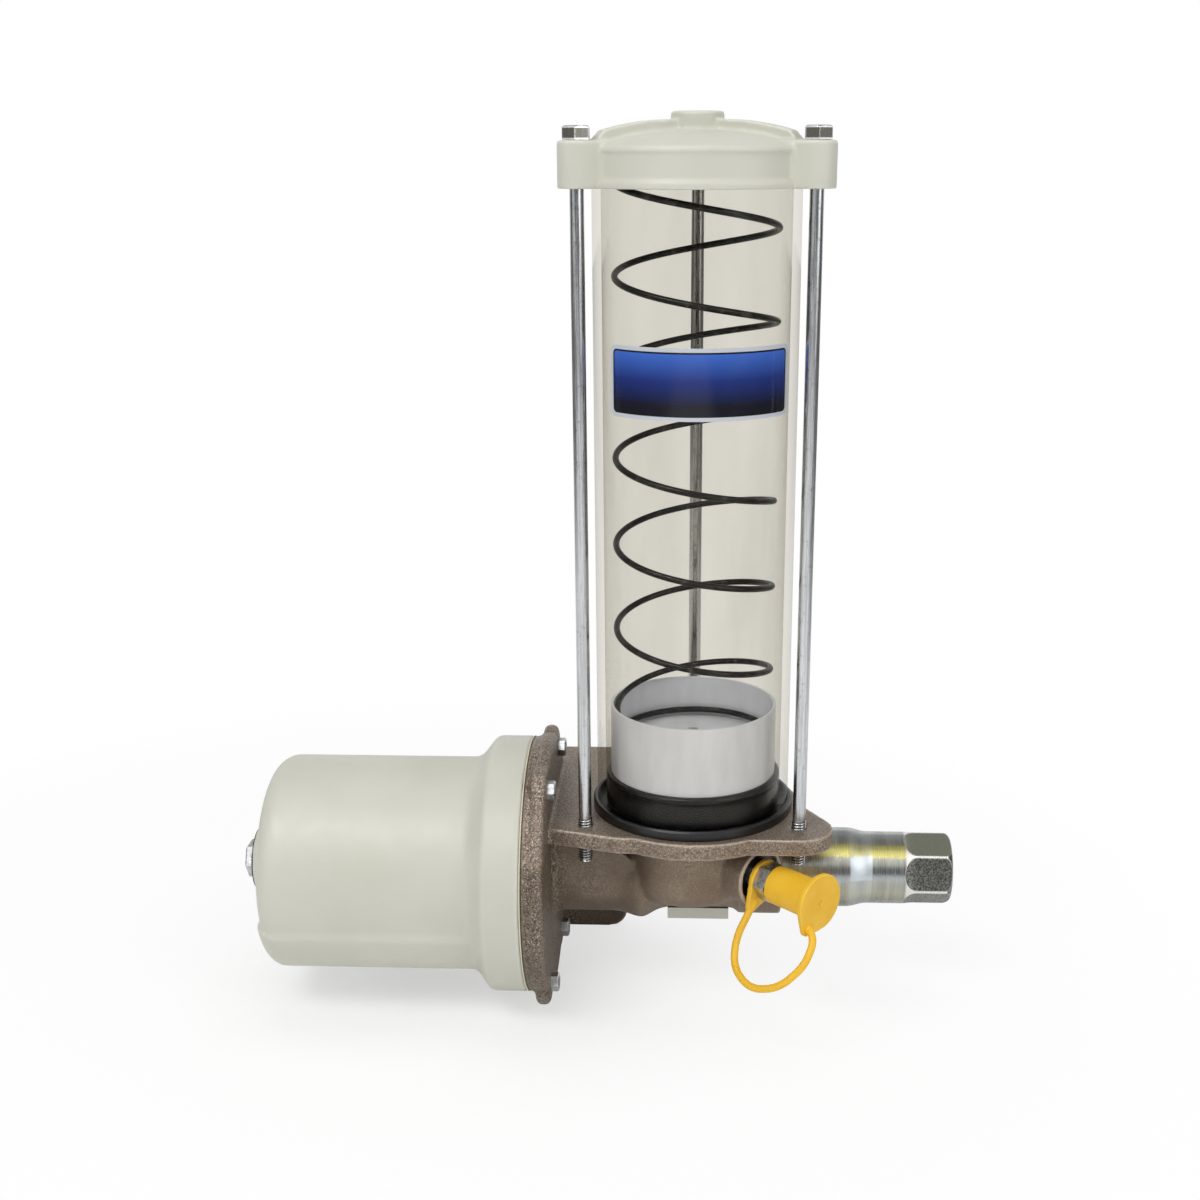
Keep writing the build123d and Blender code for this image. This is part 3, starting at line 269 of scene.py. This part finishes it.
def cream_paint():
    """Smooth cream enamel with a faint orange peel."""
    f = Finish("cream_paint", coat_weight=0.12, coat_roughness=0.3)
    cloud = f.noise(45 * MM, 2)
    tone = f.mix(f.span(cloud, 0.3, 0.7), linear(200, 200, 187), linear(205, 205, 193))
    # Painted highlight on the outer bends.
    tone = f.mix(f.math("MULTIPLY", f.crests(0.51, 0.55), 0.4), tone, linear(226, 226, 214))
    f.colour(tone)
    f.roughness(f.span(f.noise(6 * MM, 3), 0.3, 0.7, 0.44, 0.56))
    f.bump(f.noise(1.8 * MM, 2), 0.05 * MM)
    return f.material


def turned_zinc():
    """Turned steel, zinc plated: fine rings, a paler neck with a painted reflection streak, a
    straw and blue film that is partly a painted reflection, painted highlights on the edges,
    and milled flats darkened with painted shade but for the upper ones, lightened as painted light."""
    f = Finish("turned_zinc", metallic=1.0)
    film_waves = 5.0
    film_highlight_phase = -3.58
    neck_x = reservoir_x + 95.8 * MM
    neck_half = 6.5 * MM
    painted_streak_low_z = 0.5 * MM
    painted_streak_high_z = 14.5 * MM
    hexagon_x = -31 * MM
    hexagon_turn_r = 20.35 * MM
    lit_flat_z = 13.6 * MM
    rings = f.noise(0.28 * MM, 3, 0.6, f.scaled(1, 0.01, 0.01))
    bands = f.noise(5 * MM, 2, 0.5, f.scaled(1, 0.05, 0.05))
    x, y, z = f.axes()
    # Straw and blue film bands round the axis, partly painted reflection: the phase sets the straw band
    # where the highlight falls, stronger on the upper side.
    turn = f.math("ARCTAN2", z, y)
    film_and_reflection = f.math("SINE", f.math("MULTIPLY_ADD", turn, film_waves, film_highlight_phase))
    film_and_reflection = f.math("ADD", film_and_reflection, f.noise(9 * MM, 3, 0.5, f.scaled(0.12, 1, 1)))
    tone = f.mix(f.span(bands, 0.35, 0.65), linear(164, 165, 156), linear(186, 186, 176))
    straw_film_and_highlight = f.math("MULTIPLY", f.span(film_and_reflection, 0.9, 1.4, 0.0, 0.8), f.span(z, -4 * MM, 4 * MM, 0.1, 1.0))
    tone = f.mix(straw_film_and_highlight, tone, linear(226, 216, 122))
    tone = f.mix(f.span(film_and_reflection, 0.1, -0.4, 0.0, 0.5), tone, linear(180, 188, 198))
    # Paler neck, with a painted reflection streak across its upper side.
    from_neck = f.math("ABSOLUTE", f.math("SUBTRACT", x, neck_x))
    neck = f.span(from_neck, neck_half, neck_half - 0.4 * MM)
    below = f.span(z, painted_streak_high_z, painted_streak_high_z - 1.5 * MM)
    painted_streak = f.math("MULTIPLY", below, f.span(z, painted_streak_low_z, painted_streak_low_z + 1.5 * MM))
    neck = f.math("MULTIPLY", neck, f.math("MULTIPLY_ADD", painted_streak, 0.7, 0.2))
    tone = f.mix(neck, tone, linear(214, 222, 228))
    from_axis = f.math("SQRT", f.math("MULTIPLY_ADD", y, y, f.math("MULTIPLY", z, z)))
    below_turn = f.span(from_axis, hexagon_turn_r, hexagon_turn_r - 0.15 * MM)
    flats = f.math("MULTIPLY", below_turn, f.span(x, hexagon_x - 1 * MM, hexagon_x))
    # Milled flats: gritty and darkened as painted shade; the upper flats lighter as painted light.
    grit = f.noise(1.1 * MM, 3, 0.7)
    milled_shade_and_light = f.mix(f.span(grit, 0.4, 0.62), linear(88, 89, 85), linear(150, 151, 144))
    upper = f.span(z, lit_flat_z, lit_flat_z + 0.6 * MM)
    milled_shade_and_light = f.mix(upper, milled_shade_and_light, linear(176, 177, 160))
    end_x = hexagon_x + 3.5 * MM
    tone = f.mix(f.span(x, end_x, end_x + 1.5 * MM, 0.0, 0.85), tone, linear(242, 243, 240))
    tone = f.mix(flats, tone, milled_shade_and_light)
    # Painted highlight along the edges.
    tone = f.mix(f.edges(0.7 * MM), tone, linear(246, 247, 245))
    f.colour(tone)
    f.roughness(f.math("ADD", f.span(rings, 0.3, 0.7, 0.22, 0.34), f.math("MULTIPLY", neck, 0.2)))
    rough = f.math("MULTIPLY", grit, f.math("MULTIPLY", flats, 4.0))
    edge_r = f.span(flats, 0, 1, 0.35 * MM, 1.3 * MM)
    f.bump(f.math("ADD", rings, rough), 0.03 * MM, f.soft_normal(edge_r))
    return f.material


def zinc_steel():
    """Bright zinc plate on small fasteners."""
    f = Finish("zinc_steel", metallic=1.0)
    cloud = f.noise(4 * MM, 3)
    tone = f.mix(f.span(cloud, 0.35, 0.65), linear(178, 180, 180), linear(208, 210, 210))
    tone = f.mix(f.edges(0.4 * MM), tone, linear(240, 242, 244))
    f.colour(tone)
    f.roughness(f.span(f.noise(1.2 * MM, 3), 0.3, 0.7, 0.26, 0.4))
    f.bump(f.noise(0.5 * MM, 2), 0.015 * MM, f.soft_normal(0.3 * MM))
    return f.material


def rod_steel():
    """Drawn rod with streaks along its length and painted shade in its thread roots, under a
    forged head darkened with painted shade and given painted highlights round its rims."""
    f = Finish("rod_steel", metallic=1.0)
    streaks = f.noise(0.6 * MM, 3, 0.6, f.scaled(1, 1, 0.02))
    marks = f.span(f.noise(3 * MM, 4, 0.7), 0.56, 0.7, 0.0, 0.6)
    tone = f.mix(f.span(streaks, 0.35, 0.65), linear(186, 188, 190), linear(222, 224, 226))
    tone = f.mix(marks, tone, linear(150, 148, 142))
    z = f.axes()["Z"]
    # Painted shade in the thread roots.
    on_thread = f.span(z, thread_top_z + 0.5 * MM, thread_top_z)
    root_shade = f.math("MULTIPLY", f.crests(0.52, 0.46), on_thread)
    tone = f.mix(root_shade, tone, linear(58, 56, 52))
    # The head: darkened as painted shade, with painted highlights round its foot, crown and edges.
    foot = f.span(z, lug_top_z + 1.3 * MM, lug_top_z + 0.6 * MM)
    crown = f.span(z, bolt_high.z - 1.5 * MM, bolt_high.z - 0.9 * MM)
    bright = f.math("MAXIMUM", f.math("MAXIMUM", foot, crown), f.edges(0.9 * MM))
    head_shade_and_highlight = f.mix(bright, linear(104, 103, 97), linear(238, 240, 240))
    f.colour(f.mix(f.span(z, lug_top_z - 1 * MM, lug_top_z), tone, head_shade_and_highlight))
    f.roughness(f.span(streaks, 0.3, 0.7, 0.2, 0.32))
    f.bump(streaks, 0.02 * MM, f.soft_normal(0.25 * MM))
    return f.material


def ground_steel():
    """Ground and hardened steel."""
    f = Finish("ground_steel", metallic=1.0)
    rings = f.noise(0.3 * MM, 2, 0.5, f.scaled(1, 0.02, 0.02))
    f.colour(f.mix(rings, linear(205, 206, 208), linear(228, 229, 230)))
    f.roughness(f.span(rings, 0.3, 0.7, 0.1, 0.2))
    f.bump(rings, 0.005 * MM)
    return f.material


def turned_aluminium():
    """Turned aluminium with visible tool marks."""
    f = Finish("turned_aluminium", metallic=1.0)
    rings = f.noise(0.5 * MM, 3, 0.6, f.scaled(1, 0.01, 0.01))
    f.colour(f.mix(rings, linear(196, 198, 200), linear(224, 225, 226)))
    f.roughness(f.span(rings, 0.3, 0.7, 0.24, 0.4))
    f.bump(rings, 0.03 * MM, f.soft_normal(0.4 * MM))
    return f.material


def bronze():
    """Sintered bronze: fine pores in a warm metal."""
    f = Finish("bronze", metallic=1.0)
    pores = f.cells(0.5 * MM)
    f.colour(f.mix(f.span(pores, 0.1, 0.5), linear(110, 78, 38), linear(196, 152, 88)))
    f.roughness(f.span(pores, 0.0, 0.6, 0.6, 0.35))
    f.bump(pores, 0.08 * MM)
    return f.material


def black_rubber():
    """Moulded nitrile with a wet shine."""
    f = Finish("black_rubber", coat_weight=0.1, coat_roughness=0.2)
    dust = f.noise(12 * MM, 2)
    f.colour(f.mix(f.span(dust, 0.4, 0.7), linear(7, 7, 8), linear(14, 14, 14)))
    f.roughness(f.span(dust, 0.3, 0.7, 0.3, 0.38))
    f.bump(f.noise(3 * MM, 2), 0.02 * MM, f.soft_normal(0.5 * MM))
    return f.material


def black_wire():
    """Spring wire with a black phosphate coat, rubbed where it was coiled."""
    f = Finish("black_wire", metallic=0.4)
    rub = f.span(f.noise(5 * MM, 4, 0.7), 0.52, 0.72)
    f.colour(f.mix(rub, linear(38, 36, 35), linear(84, 80, 76)))
    f.roughness(f.span(f.noise(1.5 * MM, 3), 0.3, 0.7, 0.28, 0.45))
    f.bump(f.noise(0.6 * MM, 3), 0.03 * MM)
    return f.material


def grey_plastic():
    """Moulded plastic, satin, with faint flow marks round it."""
    f = Finish("grey_plastic", coat_weight=0.15, coat_roughness=0.25)
    flow = f.noise(9 * MM, 3, 0.5, f.scaled(1, 1, 0.3))
    f.colour(f.mix(f.span(flow, 0.35, 0.65), linear(230, 232, 238), linear(237, 239, 245)))
    f.roughness(f.span(flow, 0.3, 0.7, 0.34, 0.46))
    f.bump(f.noise(0.7 * MM, 2), 0.02 * MM, f.soft_normal(0.4 * MM))
    return f.material


def yellow_plastic():
    """Soft vinyl, matt, a little translucent at its thin edges."""
    f = Finish("yellow_plastic", subsurface_weight=0.12, subsurface_radius=(0.004, 0.002, 0.0006))
    cloud = f.noise(11 * MM, 3)
    tone = f.mix(f.span(cloud, 0.3, 0.7), linear(238, 185, 34), linear(244, 194, 48))
    f.colour(f.mix(f.math("MULTIPLY", f.crests(0.51, 0.56), 0.4), tone, linear(250, 216, 110)))
    f.roughness(f.span(f.noise(2 * MM, 3), 0.3, 0.7, 0.44, 0.58))
    f.bump(f.noise(0.8 * MM, 3), 0.03 * MM)
    return f.material


def clear_tube():
    """Clear acrylic: each face tints what it passes and mirrors a little; lamps shine through."""
    f = Finish("clear_tube")
    wipe = f.noise(30 * MM, 3, 0.6, f.scaled(1, 1, 0.25))
    tint = f.mix(f.span(wipe, 0.3, 0.7), linear(242, 241, 238), linear(246, 245, 242))
    facing = f.node("LayerWeight", {"Blend": 0.5}, "Facing")
    tint = f.mix(f.math("POWER", facing, 3.0), tint, linear(228, 226, 220))
    through = f.node("BsdfTransparent", {"Color": tint})
    shine = f.node("BsdfGlossy", {"Color": (1, 1, 1), "Roughness": 0.04})
    mirrored = f.math("MULTIPLY_ADD", f.math("POWER", facing, 4.0), 0.28, 0.003)
    glass = f.node("MixShader", {0: mirrored, 1: through, 2: shine})
    open_way = f.node("BsdfTransparent", {"Color": (1, 1, 1)})
    lamp = f.node("LightPath", {}, "Is Shadow Ray")
    surface = f.node("MixShader", {0: lamp, 1: glass, 2: open_way})
    f.tree.links.new(surface, f.out.inputs["Surface"])
    f.tree.nodes.remove(f.shader)
    return f.material


def blue_plate():
    """Printed plate: silver rim, black line and a blue field that darkens downwards."""
    f = Finish("blue_plate", coat_weight=0.15, coat_roughness=0.05)
    low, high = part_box("nameplate")
    tall = high.z - low.z
    corner_r = 4.5 * MM
    line_gap = 3.1 * MM
    rim_gap = 2.2 * MM
    blend = 0.3 * MM
    x, y, z = f.axes()
    height = f.math("MULTIPLY_ADD", z, 1 / tall, -low.z / tall)
    fade = f.node("ValToRGB", {0: height}, "Color")
    stops = fade.node.color_ramp.elements
    stops[0].position = 0.2
    stops[0].color = (*linear(9, 11, 26), 1)
    stops[1].position = 0.95
    stops[1].color = (*linear(62, 106, 200), 1)
    middle_stop = stops.new(0.55)
    middle_stop.color = (*linear(24, 46, 118), 1)
    from_middle = f.math("ABSOLUTE", f.math("SUBTRACT", height, 0.5))
    angle = f.math("ARCTAN2", y, f.math("SUBTRACT", x, reservoir_x))
    along = f.math("ABSOLUTE", f.math("SUBTRACT", angle, nameplate_start + nameplate_arc / 2))
    end_gap = f.math("MULTIPLY", f.math("SUBTRACT", nameplate_arc / 2, along), nameplate_r)
    side_gap = f.math("MULTIPLY", f.math("SUBTRACT", 0.5, from_middle), tall)
    end_short = f.math("MAXIMUM", f.math("SUBTRACT", corner_r, end_gap), 0.0)
    side_short = f.math("MAXIMUM", f.math("SUBTRACT", corner_r, side_gap), 0.0)
    short = f.math("MULTIPLY_ADD", end_short, end_short, f.math("MULTIPLY", side_short, side_short))
    gap = f.math("SUBTRACT", corner_r, f.math("SQRT", short))
    tone = f.mix(f.span(gap, line_gap, line_gap - blend), fade, linear(8, 9, 16))
    tone = f.mix(f.span(gap, rim_gap, rim_gap - blend), tone, linear(196, 200, 207))
    f.colour(tone)
    f.roughness(f.span(f.noise(8 * MM, 2), 0.3, 0.7, 0.14, 0.18))
    f.bump(f.noise(9 * MM, 2), 0.006 * MM)
    return f.material


def gasket_fibre():
    """Pale gasket sheet with short fibres."""
    f = Finish("gasket_fibre", roughness=0.85)
    fibres = f.noise(0.5 * MM, 3, 0.7)
    f.colour(f.mix(f.span(fibres, 0.35, 0.65), linear(205, 200, 180), linear(228, 224, 206)))
    f.bump(fibres, 0.05 * MM)
    return f.material


finish_of_slot = {
    "cast_brown": cast_brown(),
    "cream_paint": cream_paint(),
    "zinc_steel": zinc_steel(),
    "ground_steel": ground_steel(),
    "turned_aluminium": turned_aluminium(),
    "bronze": bronze(),
    "black_rubber": black_rubber(),
    "gasket_fibre": gasket_fibre(),
    "clear_tube": clear_tube(),
    "black_wire": black_wire(),
    "grey_plastic": grey_plastic(),
    "blue_plate": blue_plate(),
    "yellow_plastic": yellow_plastic(),
}
turned = turned_zinc()
rod = rod_steel()


def dress(thing, material):
    """One material on the whole of a piece or CAD node."""
    thing.data.materials.clear()
    thing.data.materials.append(material)


for part in frame["record"]["subparts"]:
    dress(node_of[part["node"]], finish_of_slot[part["material_slot"]])
dress(node_of["pump_cylinder"], turned)


# ---------------------------------------------------------------- castings and mouldings

def copy_of(node, name):
    """A free copy of a CAD node's mesh."""
    piece = node_of[node].copy()
    piece.data = piece.data.copy()
    piece.name = name
    piece.parent = None
    for key in list(piece.keys()):
        del piece[key]
    bpy.context.scene.collection.objects.link(piece)
    return piece


def softened(node, voxel, passes, body, slot):
    """A copy of a CAD node with its edges and corners rounded, as a mould leaves them."""
    piece = copy_of(node, node + "_skin")
    remesh = piece.modifiers.new("remesh", "REMESH")
    remesh.mode = "VOXEL"
    remesh.voxel_size = voxel
    relax = piece.modifiers.new("relax", "SMOOTH")
    relax.factor = 0.5
    relax.iterations = passes
    graph = bpy.context.evaluated_depsgraph_get()
    final = bpy.data.meshes.new_from_object(piece.evaluated_get(graph))
    piece.modifiers.clear()
    piece.data = final
    for face in final.polygons:
        face.use_smooth = True
    dress(piece, finish_of_slot[slot])
    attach(piece, body)
    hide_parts(node)
    return piece


softened("dust_cap", voxel=0.5 * MM, passes=4, body="cap", slot="yellow_plastic")
softened("pump_body", voxel=1.25 * MM, passes=2, body="housing", slot="cast_brown")
softened("reservoir_lid", voxel=0.9 * MM, passes=2, body="housing", slot="cream_paint")
softened("air_cylinder", voxel=1.6 * MM, passes=2, body="housing", slot="cream_paint")


# ---------------------------------------------------------------- springs

def closing_spring(joint):
    """A joint's spring: a copy of its CAD node, dressed in its slot's finish and attached to the housing
    in place of the hidden node.
    """
    held = joint["deforming_nodes"][0]
    node = held["node"]
    piece = copy_of(node, node + "_coil")
    parts = frame["record"]["subparts"]
    slot = next(part["material_slot"] for part in parts if part["node"] == node)
    dress(piece, finish_of_slot[slot])
    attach(piece, "housing")
    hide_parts(node)
    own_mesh(piece)


for joint in frame["record"]["behaviour"]["joints"]:
    if joint.get("deforming_nodes"):
        closing_spring(joint)


# ---------------------------------------------------------------- tie bolts

def piece_of(shape, name):
    """A new object in the scene from a finished bmesh."""
    bmesh.ops.recalc_face_normals(shape, faces=shape.faces)
    mesh = bpy.data.meshes.new(name)
    shape.to_mesh(mesh)
    shape.free()
    piece = bpy.data.objects.new(name, mesh)
    bpy.context.scene.collection.objects.link(piece)
    return piece


def shell(name, loops):
    """A closed mesh through loops of equal length, capped at both ends."""
    shape = bmesh.new()
    rows = [[shape.verts.new(point) for point in loop] for loop in loops]
    for lower, upper in zip(rows, rows[1:]):
        for i in range(len(lower)):
            j = (i + 1) % len(lower)
            shape.faces.new((lower[i], lower[j], upper[j], upper[i]))
    shape.faces.new(list(reversed(rows[0])))
    shape.faces.new(rows[-1])
    return piece_of(shape, name)


def lathe(name, profile, centre_x, steps):
    """A ring turned round an upright axis from a closed outline of radius and height."""
    shape = bmesh.new()
    rows = []
    for i in range(steps):
        angle = 2 * math.pi * i / steps
        across, along = math.cos(angle), math.sin(angle)
        rows.append([shape.verts.new((centre_x + r * across, r * along, z)) for r, z in profile])
    for row, following in zip(rows, rows[1:] + rows[:1]):
        for i in range(len(profile)):
            j = (i + 1) % len(profile)
            shape.faces.new((row[i], following[i], following[j], row[j]))
    return piece_of(shape, name)


def smooth_by_angle(piece, degrees):
    """Smooth shading with edges sharper than an angle left crisp."""
    mesh = piece.data
    for face in mesh.polygons:
        face.use_smooth = True
    mesh.set_sharp_from_angle(angle=math.radians(degrees))


def hexagon_r(flats, angle):
    """Distance from a hexagon's middle to its side, in a direction."""
    turn = (angle + math.pi / 6) % (math.pi / 3) - math.pi / 6
    return flats / 2 / math.cos(turn)


def tie_bolt(name, x, y):
    """Hexagon-headed tie bolt: chamfered head, drawn shank, rolled thread at its foot."""
    steps = 48
    shank_r = 3.55 * MM
    crest_r = 3.95 * MM
    root_r = 3.3 * MM
    thread_pitch = 1.6 * MM
    flank_slope = 1.6
    root_flat = 0.2
    foot_chamfer = 0.8 * MM
    run_in = 1.2 * MM
    run_out = 0.6 * MM
    seat_chamfer = 0.3 * MM
    crown_edge = 0.25 * MM
    crown_r = tie_head_flats / 2 - 0.2 * MM
    crown_slope = math.tan(math.radians(30))
    angles = [2 * math.pi * i / steps for i in range(steps)]

    def ring(height, radius):
        """A loop of points; its height and radius are numbers or functions of the angle."""
        loop = []
        for angle in angles:
            z = height(angle) if callable(height) else height
            r = radius(angle) if callable(radius) else radius
            loop.append((x + r * math.cos(angle), y + r * math.sin(angle), z))
        return loop

    def threaded(z):
        """Radius round the thread at a height; the thread fades at both ends."""
        run = (z - bolt_low.z + 0.2 * MM) / run_in
        fade = max(0, min(1, run, (thread_top_z - z) / thread_pitch + 0.3))

        def radius(angle):
            phase = (z / thread_pitch - angle / (2 * math.pi)) % 1
            rise = min(1, max(0, flank_slope * (1 - abs(2 * phase - 1)) - root_flat))
            return root_r + (crest_r - root_r) * rise * fade
        return radius

    def side_r(angle):
        return hexagon_r(tie_head_flats, angle)

    def seat_r(angle):
        return side_r(angle) - seat_chamfer

    def crown_z(angle):
        """Height of the head's side, which drops towards the corners."""
        drop = max(0, side_r(angle) - crown_r) * crown_slope
        return bolt_high.z - crown_edge - drop

    thread_rows = int((thread_top_z - bolt_low.z) / (thread_pitch / 8))
    loops = [ring(bolt_low.z, root_r - foot_chamfer)]
    for i in range(thread_rows + 1):
        z = bolt_low.z + (thread_top_z - bolt_low.z) * i / thread_rows
        loops.append(ring(z, threaded(z)))
    loops += [
        ring(thread_top_z + run_out, shank_r),
        ring(lug_top_z, shank_r),
        ring(lug_top_z, seat_r),
        ring(lug_top_z + seat_chamfer, side_r),
        ring(crown_z, side_r),
        ring(bolt_high.z - 0.08 * MM, crown_r - 0.1 * MM),
        ring(bolt_high.z, crown_r - 0.7 * MM),
    ]
    piece = shell(name, loops)
    smooth_by_angle(piece, degrees=28)
    return piece


for index in range(3):
    angle = math.radians(90 + 120 * index)
    bolt_x = reservoir_x + tie_pitch_r * math.cos(angle)
    bolt_y = tie_pitch_r * math.sin(angle)
    bolt = tie_bolt(f"tie_bolt_{index + 1}", bolt_x, bolt_y)
    dress(bolt, rod)
    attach(bolt, "housing")
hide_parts("tie_bolts")


# ---------------------------------------------------------------- follower seal

def wiper_seal():
    """The follower's rubber wiper: a disc, a rib that wipes the tube and a flared lip."""
    low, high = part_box("follower_seal")
    tube_clearance = 0.2 * MM
    outer = (high.x - low.x) / 2 - tube_clearance
    inner = 3.05 * MM
    disc_thickness = 4 * MM
    disc_z = high.z - disc_thickness
    profile = [
        (inner, high.z),
        (outer - 1.6 * MM, high.z),
        (outer - 0.7 * MM, high.z - 0.3 * MM),
        (outer - 0.1 * MM, high.z - 1.1 * MM),
        (outer, high.z - 2.0 * MM),
        (outer - 0.1 * MM, high.z - 3.0 * MM),
        (outer - 0.8 * MM, high.z - 4.0 * MM),
        (outer - 1.0 * MM, high.z - 7.0 * MM),
        (outer - 0.7 * MM, high.z - 11.0 * MM),
        (outer - 0.1 * MM, low.z + 3.2 * MM),
        (outer, low.z + 1.9 * MM),
        (outer - 0.4 * MM, low.z + 0.7 * MM),
        (outer - 1.4 * MM, low.z),
        (outer - 3.8 * MM, low.z),
        (outer - 4.8 * MM, disc_z),
        (inner, disc_z),
    ]
    piece = lathe("follower_wiper", profile, centre_x=reservoir_x, steps=160)
    smooth_by_angle(piece, degrees=40)
    dress(piece, finish_of_slot["black_rubber"])
    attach(piece, "follower")
    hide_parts("follower_seal")


wiper_seal()


# ---------------------------------------------------------------- light and floor

def light(name, place, aim, size, power):
    """A rectangular soft box at a place, turned to face a point; its power is in watts."""
    data = bpy.data.lights.new(name, "AREA")
    data.shape = "RECTANGLE"
    data.size, data.size_y = size
    data.energy = power
    lamp = bpy.data.objects.new(name, data)
    lamp.location = place
    lamp.rotation_euler = (Vector(aim) - Vector(place)).to_track_quat("-Z", "Y").to_euler()
    bpy.context.scene.collection.objects.link(lamp)
    return lamp


class Studio:
    """What surrounds the object: a white sweep runs front to back, the sides are dim."""

    sweep_half_width = 0.75
    white = 1.0
    dim = 0.1
    overhead = 0.32
    side_panel = 0.95
    front_panel = 0.9
    ambient = 0.39


def sky_material():
    """The world: white to the camera and through glass, even grey as a light. Mirrors see
    a backdrop, panels at the front and sides, and a dim room that is brighter overhead.
    Where each begins and ends is given as cosines of the direction."""
    world = bpy.data.worlds.new("studio")
    world.use_nodes = True
    bpy.context.scene.world = world
    tree = world.node_tree
    shader = tree.nodes["Background"]

    def node(kind, inputs, output=0, **settings):
        made = tree.nodes.new("ShaderNode" + kind)
        for key, value in settings.items():
            setattr(made, key, value)
        for socket, value in inputs.items():
            if isinstance(value, bpy.types.NodeSocket):
                tree.links.new(value, made.inputs[socket])
            else:
                made.inputs[socket].default_value = value
        return made.outputs[output]

    def span(value, low, high, to_low, to_high):
        inputs = {"Value": value, "From Min": low, "From Max": high, "To Min": to_low, "To Max": to_high}
        return node("MapRange", inputs, interpolation_type="SMOOTHSTEP")

    def combine(operation, a, b):
        return node("Math", {0: a, 1: b}, operation=operation)

    path = tree.nodes.new("ShaderNodeLightPath").outputs
    facing = node("SeparateXYZ", {0: node("TexCoord", {}, "Generated")}, "Y").node.outputs
    low_enough = span(facing["Z"], 0.52, 0.25, 0.42, 1.0)
    backdrop = combine("MULTIPLY", span(facing["Y"], 0.35, 0.6, 0.0, Studio.white), low_enough)
    front = span(facing["Y"], -0.1, -0.25, 0.0, 1.0)
    aside = node("Math", {0: facing["X"]}, operation="ABSOLUTE")
    side_box = span(aside, 0.45, 0.58, 0.0, Studio.side_panel)
    side_box = combine("MULTIPLY", side_box, span(aside, 0.97, 0.92, 0.0, 1.0))
    side_box = combine("MULTIPLY", side_box, front)
    front_box = combine("MULTIPLY", span(facing["Z"], 0.35, 0.5, 0.0, Studio.front_panel), front)
    mirrored = span(facing["Z"], 0.45, 0.8, Studio.dim, Studio.overhead)
    for panel in (backdrop, side_box, front_box):
        mirrored = combine("MAXIMUM", mirrored, panel)
    seen = combine("MAXIMUM", path["Is Camera Ray"], path["Is Transmission Ray"])
    strength = node("Mix", {0: path["Is Glossy Ray"], 2: Studio.ambient, 3: mirrored})
    strength = node("Mix", {0: seen, 2: strength, 3: Studio.white})
    tree.links.new(strength, shader.inputs["Strength"])
    shader.inputs["Color"].default_value = (1, 1, 1, 1)


def floor_material():
    """White paper that keeps the shadow near the object and melts into the backdrop. In
    mirrors it is grey beyond the sweep's sides."""
    f = Finish("floor", roughness=0.9)
    f.colour(linear(252, 252, 252))
    shadow_reach = 0.24
    melt_start = 0.28
    melt_end = 0.6
    distance = f.node("VectorMath", {0: f.place}, "Value", operation="LENGTH")
    near = f.span(distance, 0.0, shadow_reach, 0.47, 0.85)
    far = f.math("ADD", near, f.span(distance, melt_start, melt_end, 0.0, 0.15))
    path = f.node("LightPath", {}).node.outputs
    glow = f.node("Emission", {"Color": (1, 1, 1), "Strength": 1.0})
    melted = f.math("MULTIPLY", far, path["Is Camera Ray"])
    paper = f.node("MixShader", {0: melted, 1: f.shader.outputs[0], 2: glow})
    aside = f.math("ABSOLUTE", f.axes()["X"])
    beside = f.span(aside, Studio.sweep_half_width, Studio.sweep_half_width + 0.3)
    shade = f.node("BsdfDiffuse", {"Color": (0.3, 0.3, 0.3)})
    mirrored = f.math("MULTIPLY", beside, path["Is Glossy Ray"])
    surface = f.node("MixShader", {0: mirrored, 1: paper, 2: shade})
    f.tree.links.new(surface, f.out.inputs["Surface"])
    return f.material


aim_height = 0.12
target = Vector((reservoir_x, 0, aim_height))
light("key", place=(-0.9, -1.3, 1.9), aim=target, size=(1.3, 0.7), power=25)
light("fill", place=(1.3, -1.3, 0.9), aim=target, size=(0.8, 1.4), power=8)
top_light = light("top", place=(reservoir_x, 0.2, 2.2), aim=target, size=(1.6, 1.0), power=10)
top_light.visible_glossy = False
sky_material()

floor_mesh = bpy.data.meshes.new("floor")
reach = 6.0
corners = [(-reach, -reach, 0), (reach, -reach, 0), (reach, reach, 0), (-reach, reach, 0)]
floor_mesh.from_pydata(corners, [], [(0, 1, 2, 3)])
floor = bpy.data.objects.new("floor", floor_mesh)
floor.location = (middle("air_cylinder").x, 0, floor_z)
bpy.context.scene.collection.objects.link(floor)
dress(floor, floor_material())

bpy.context.scene.view_settings.view_transform = "Standard"
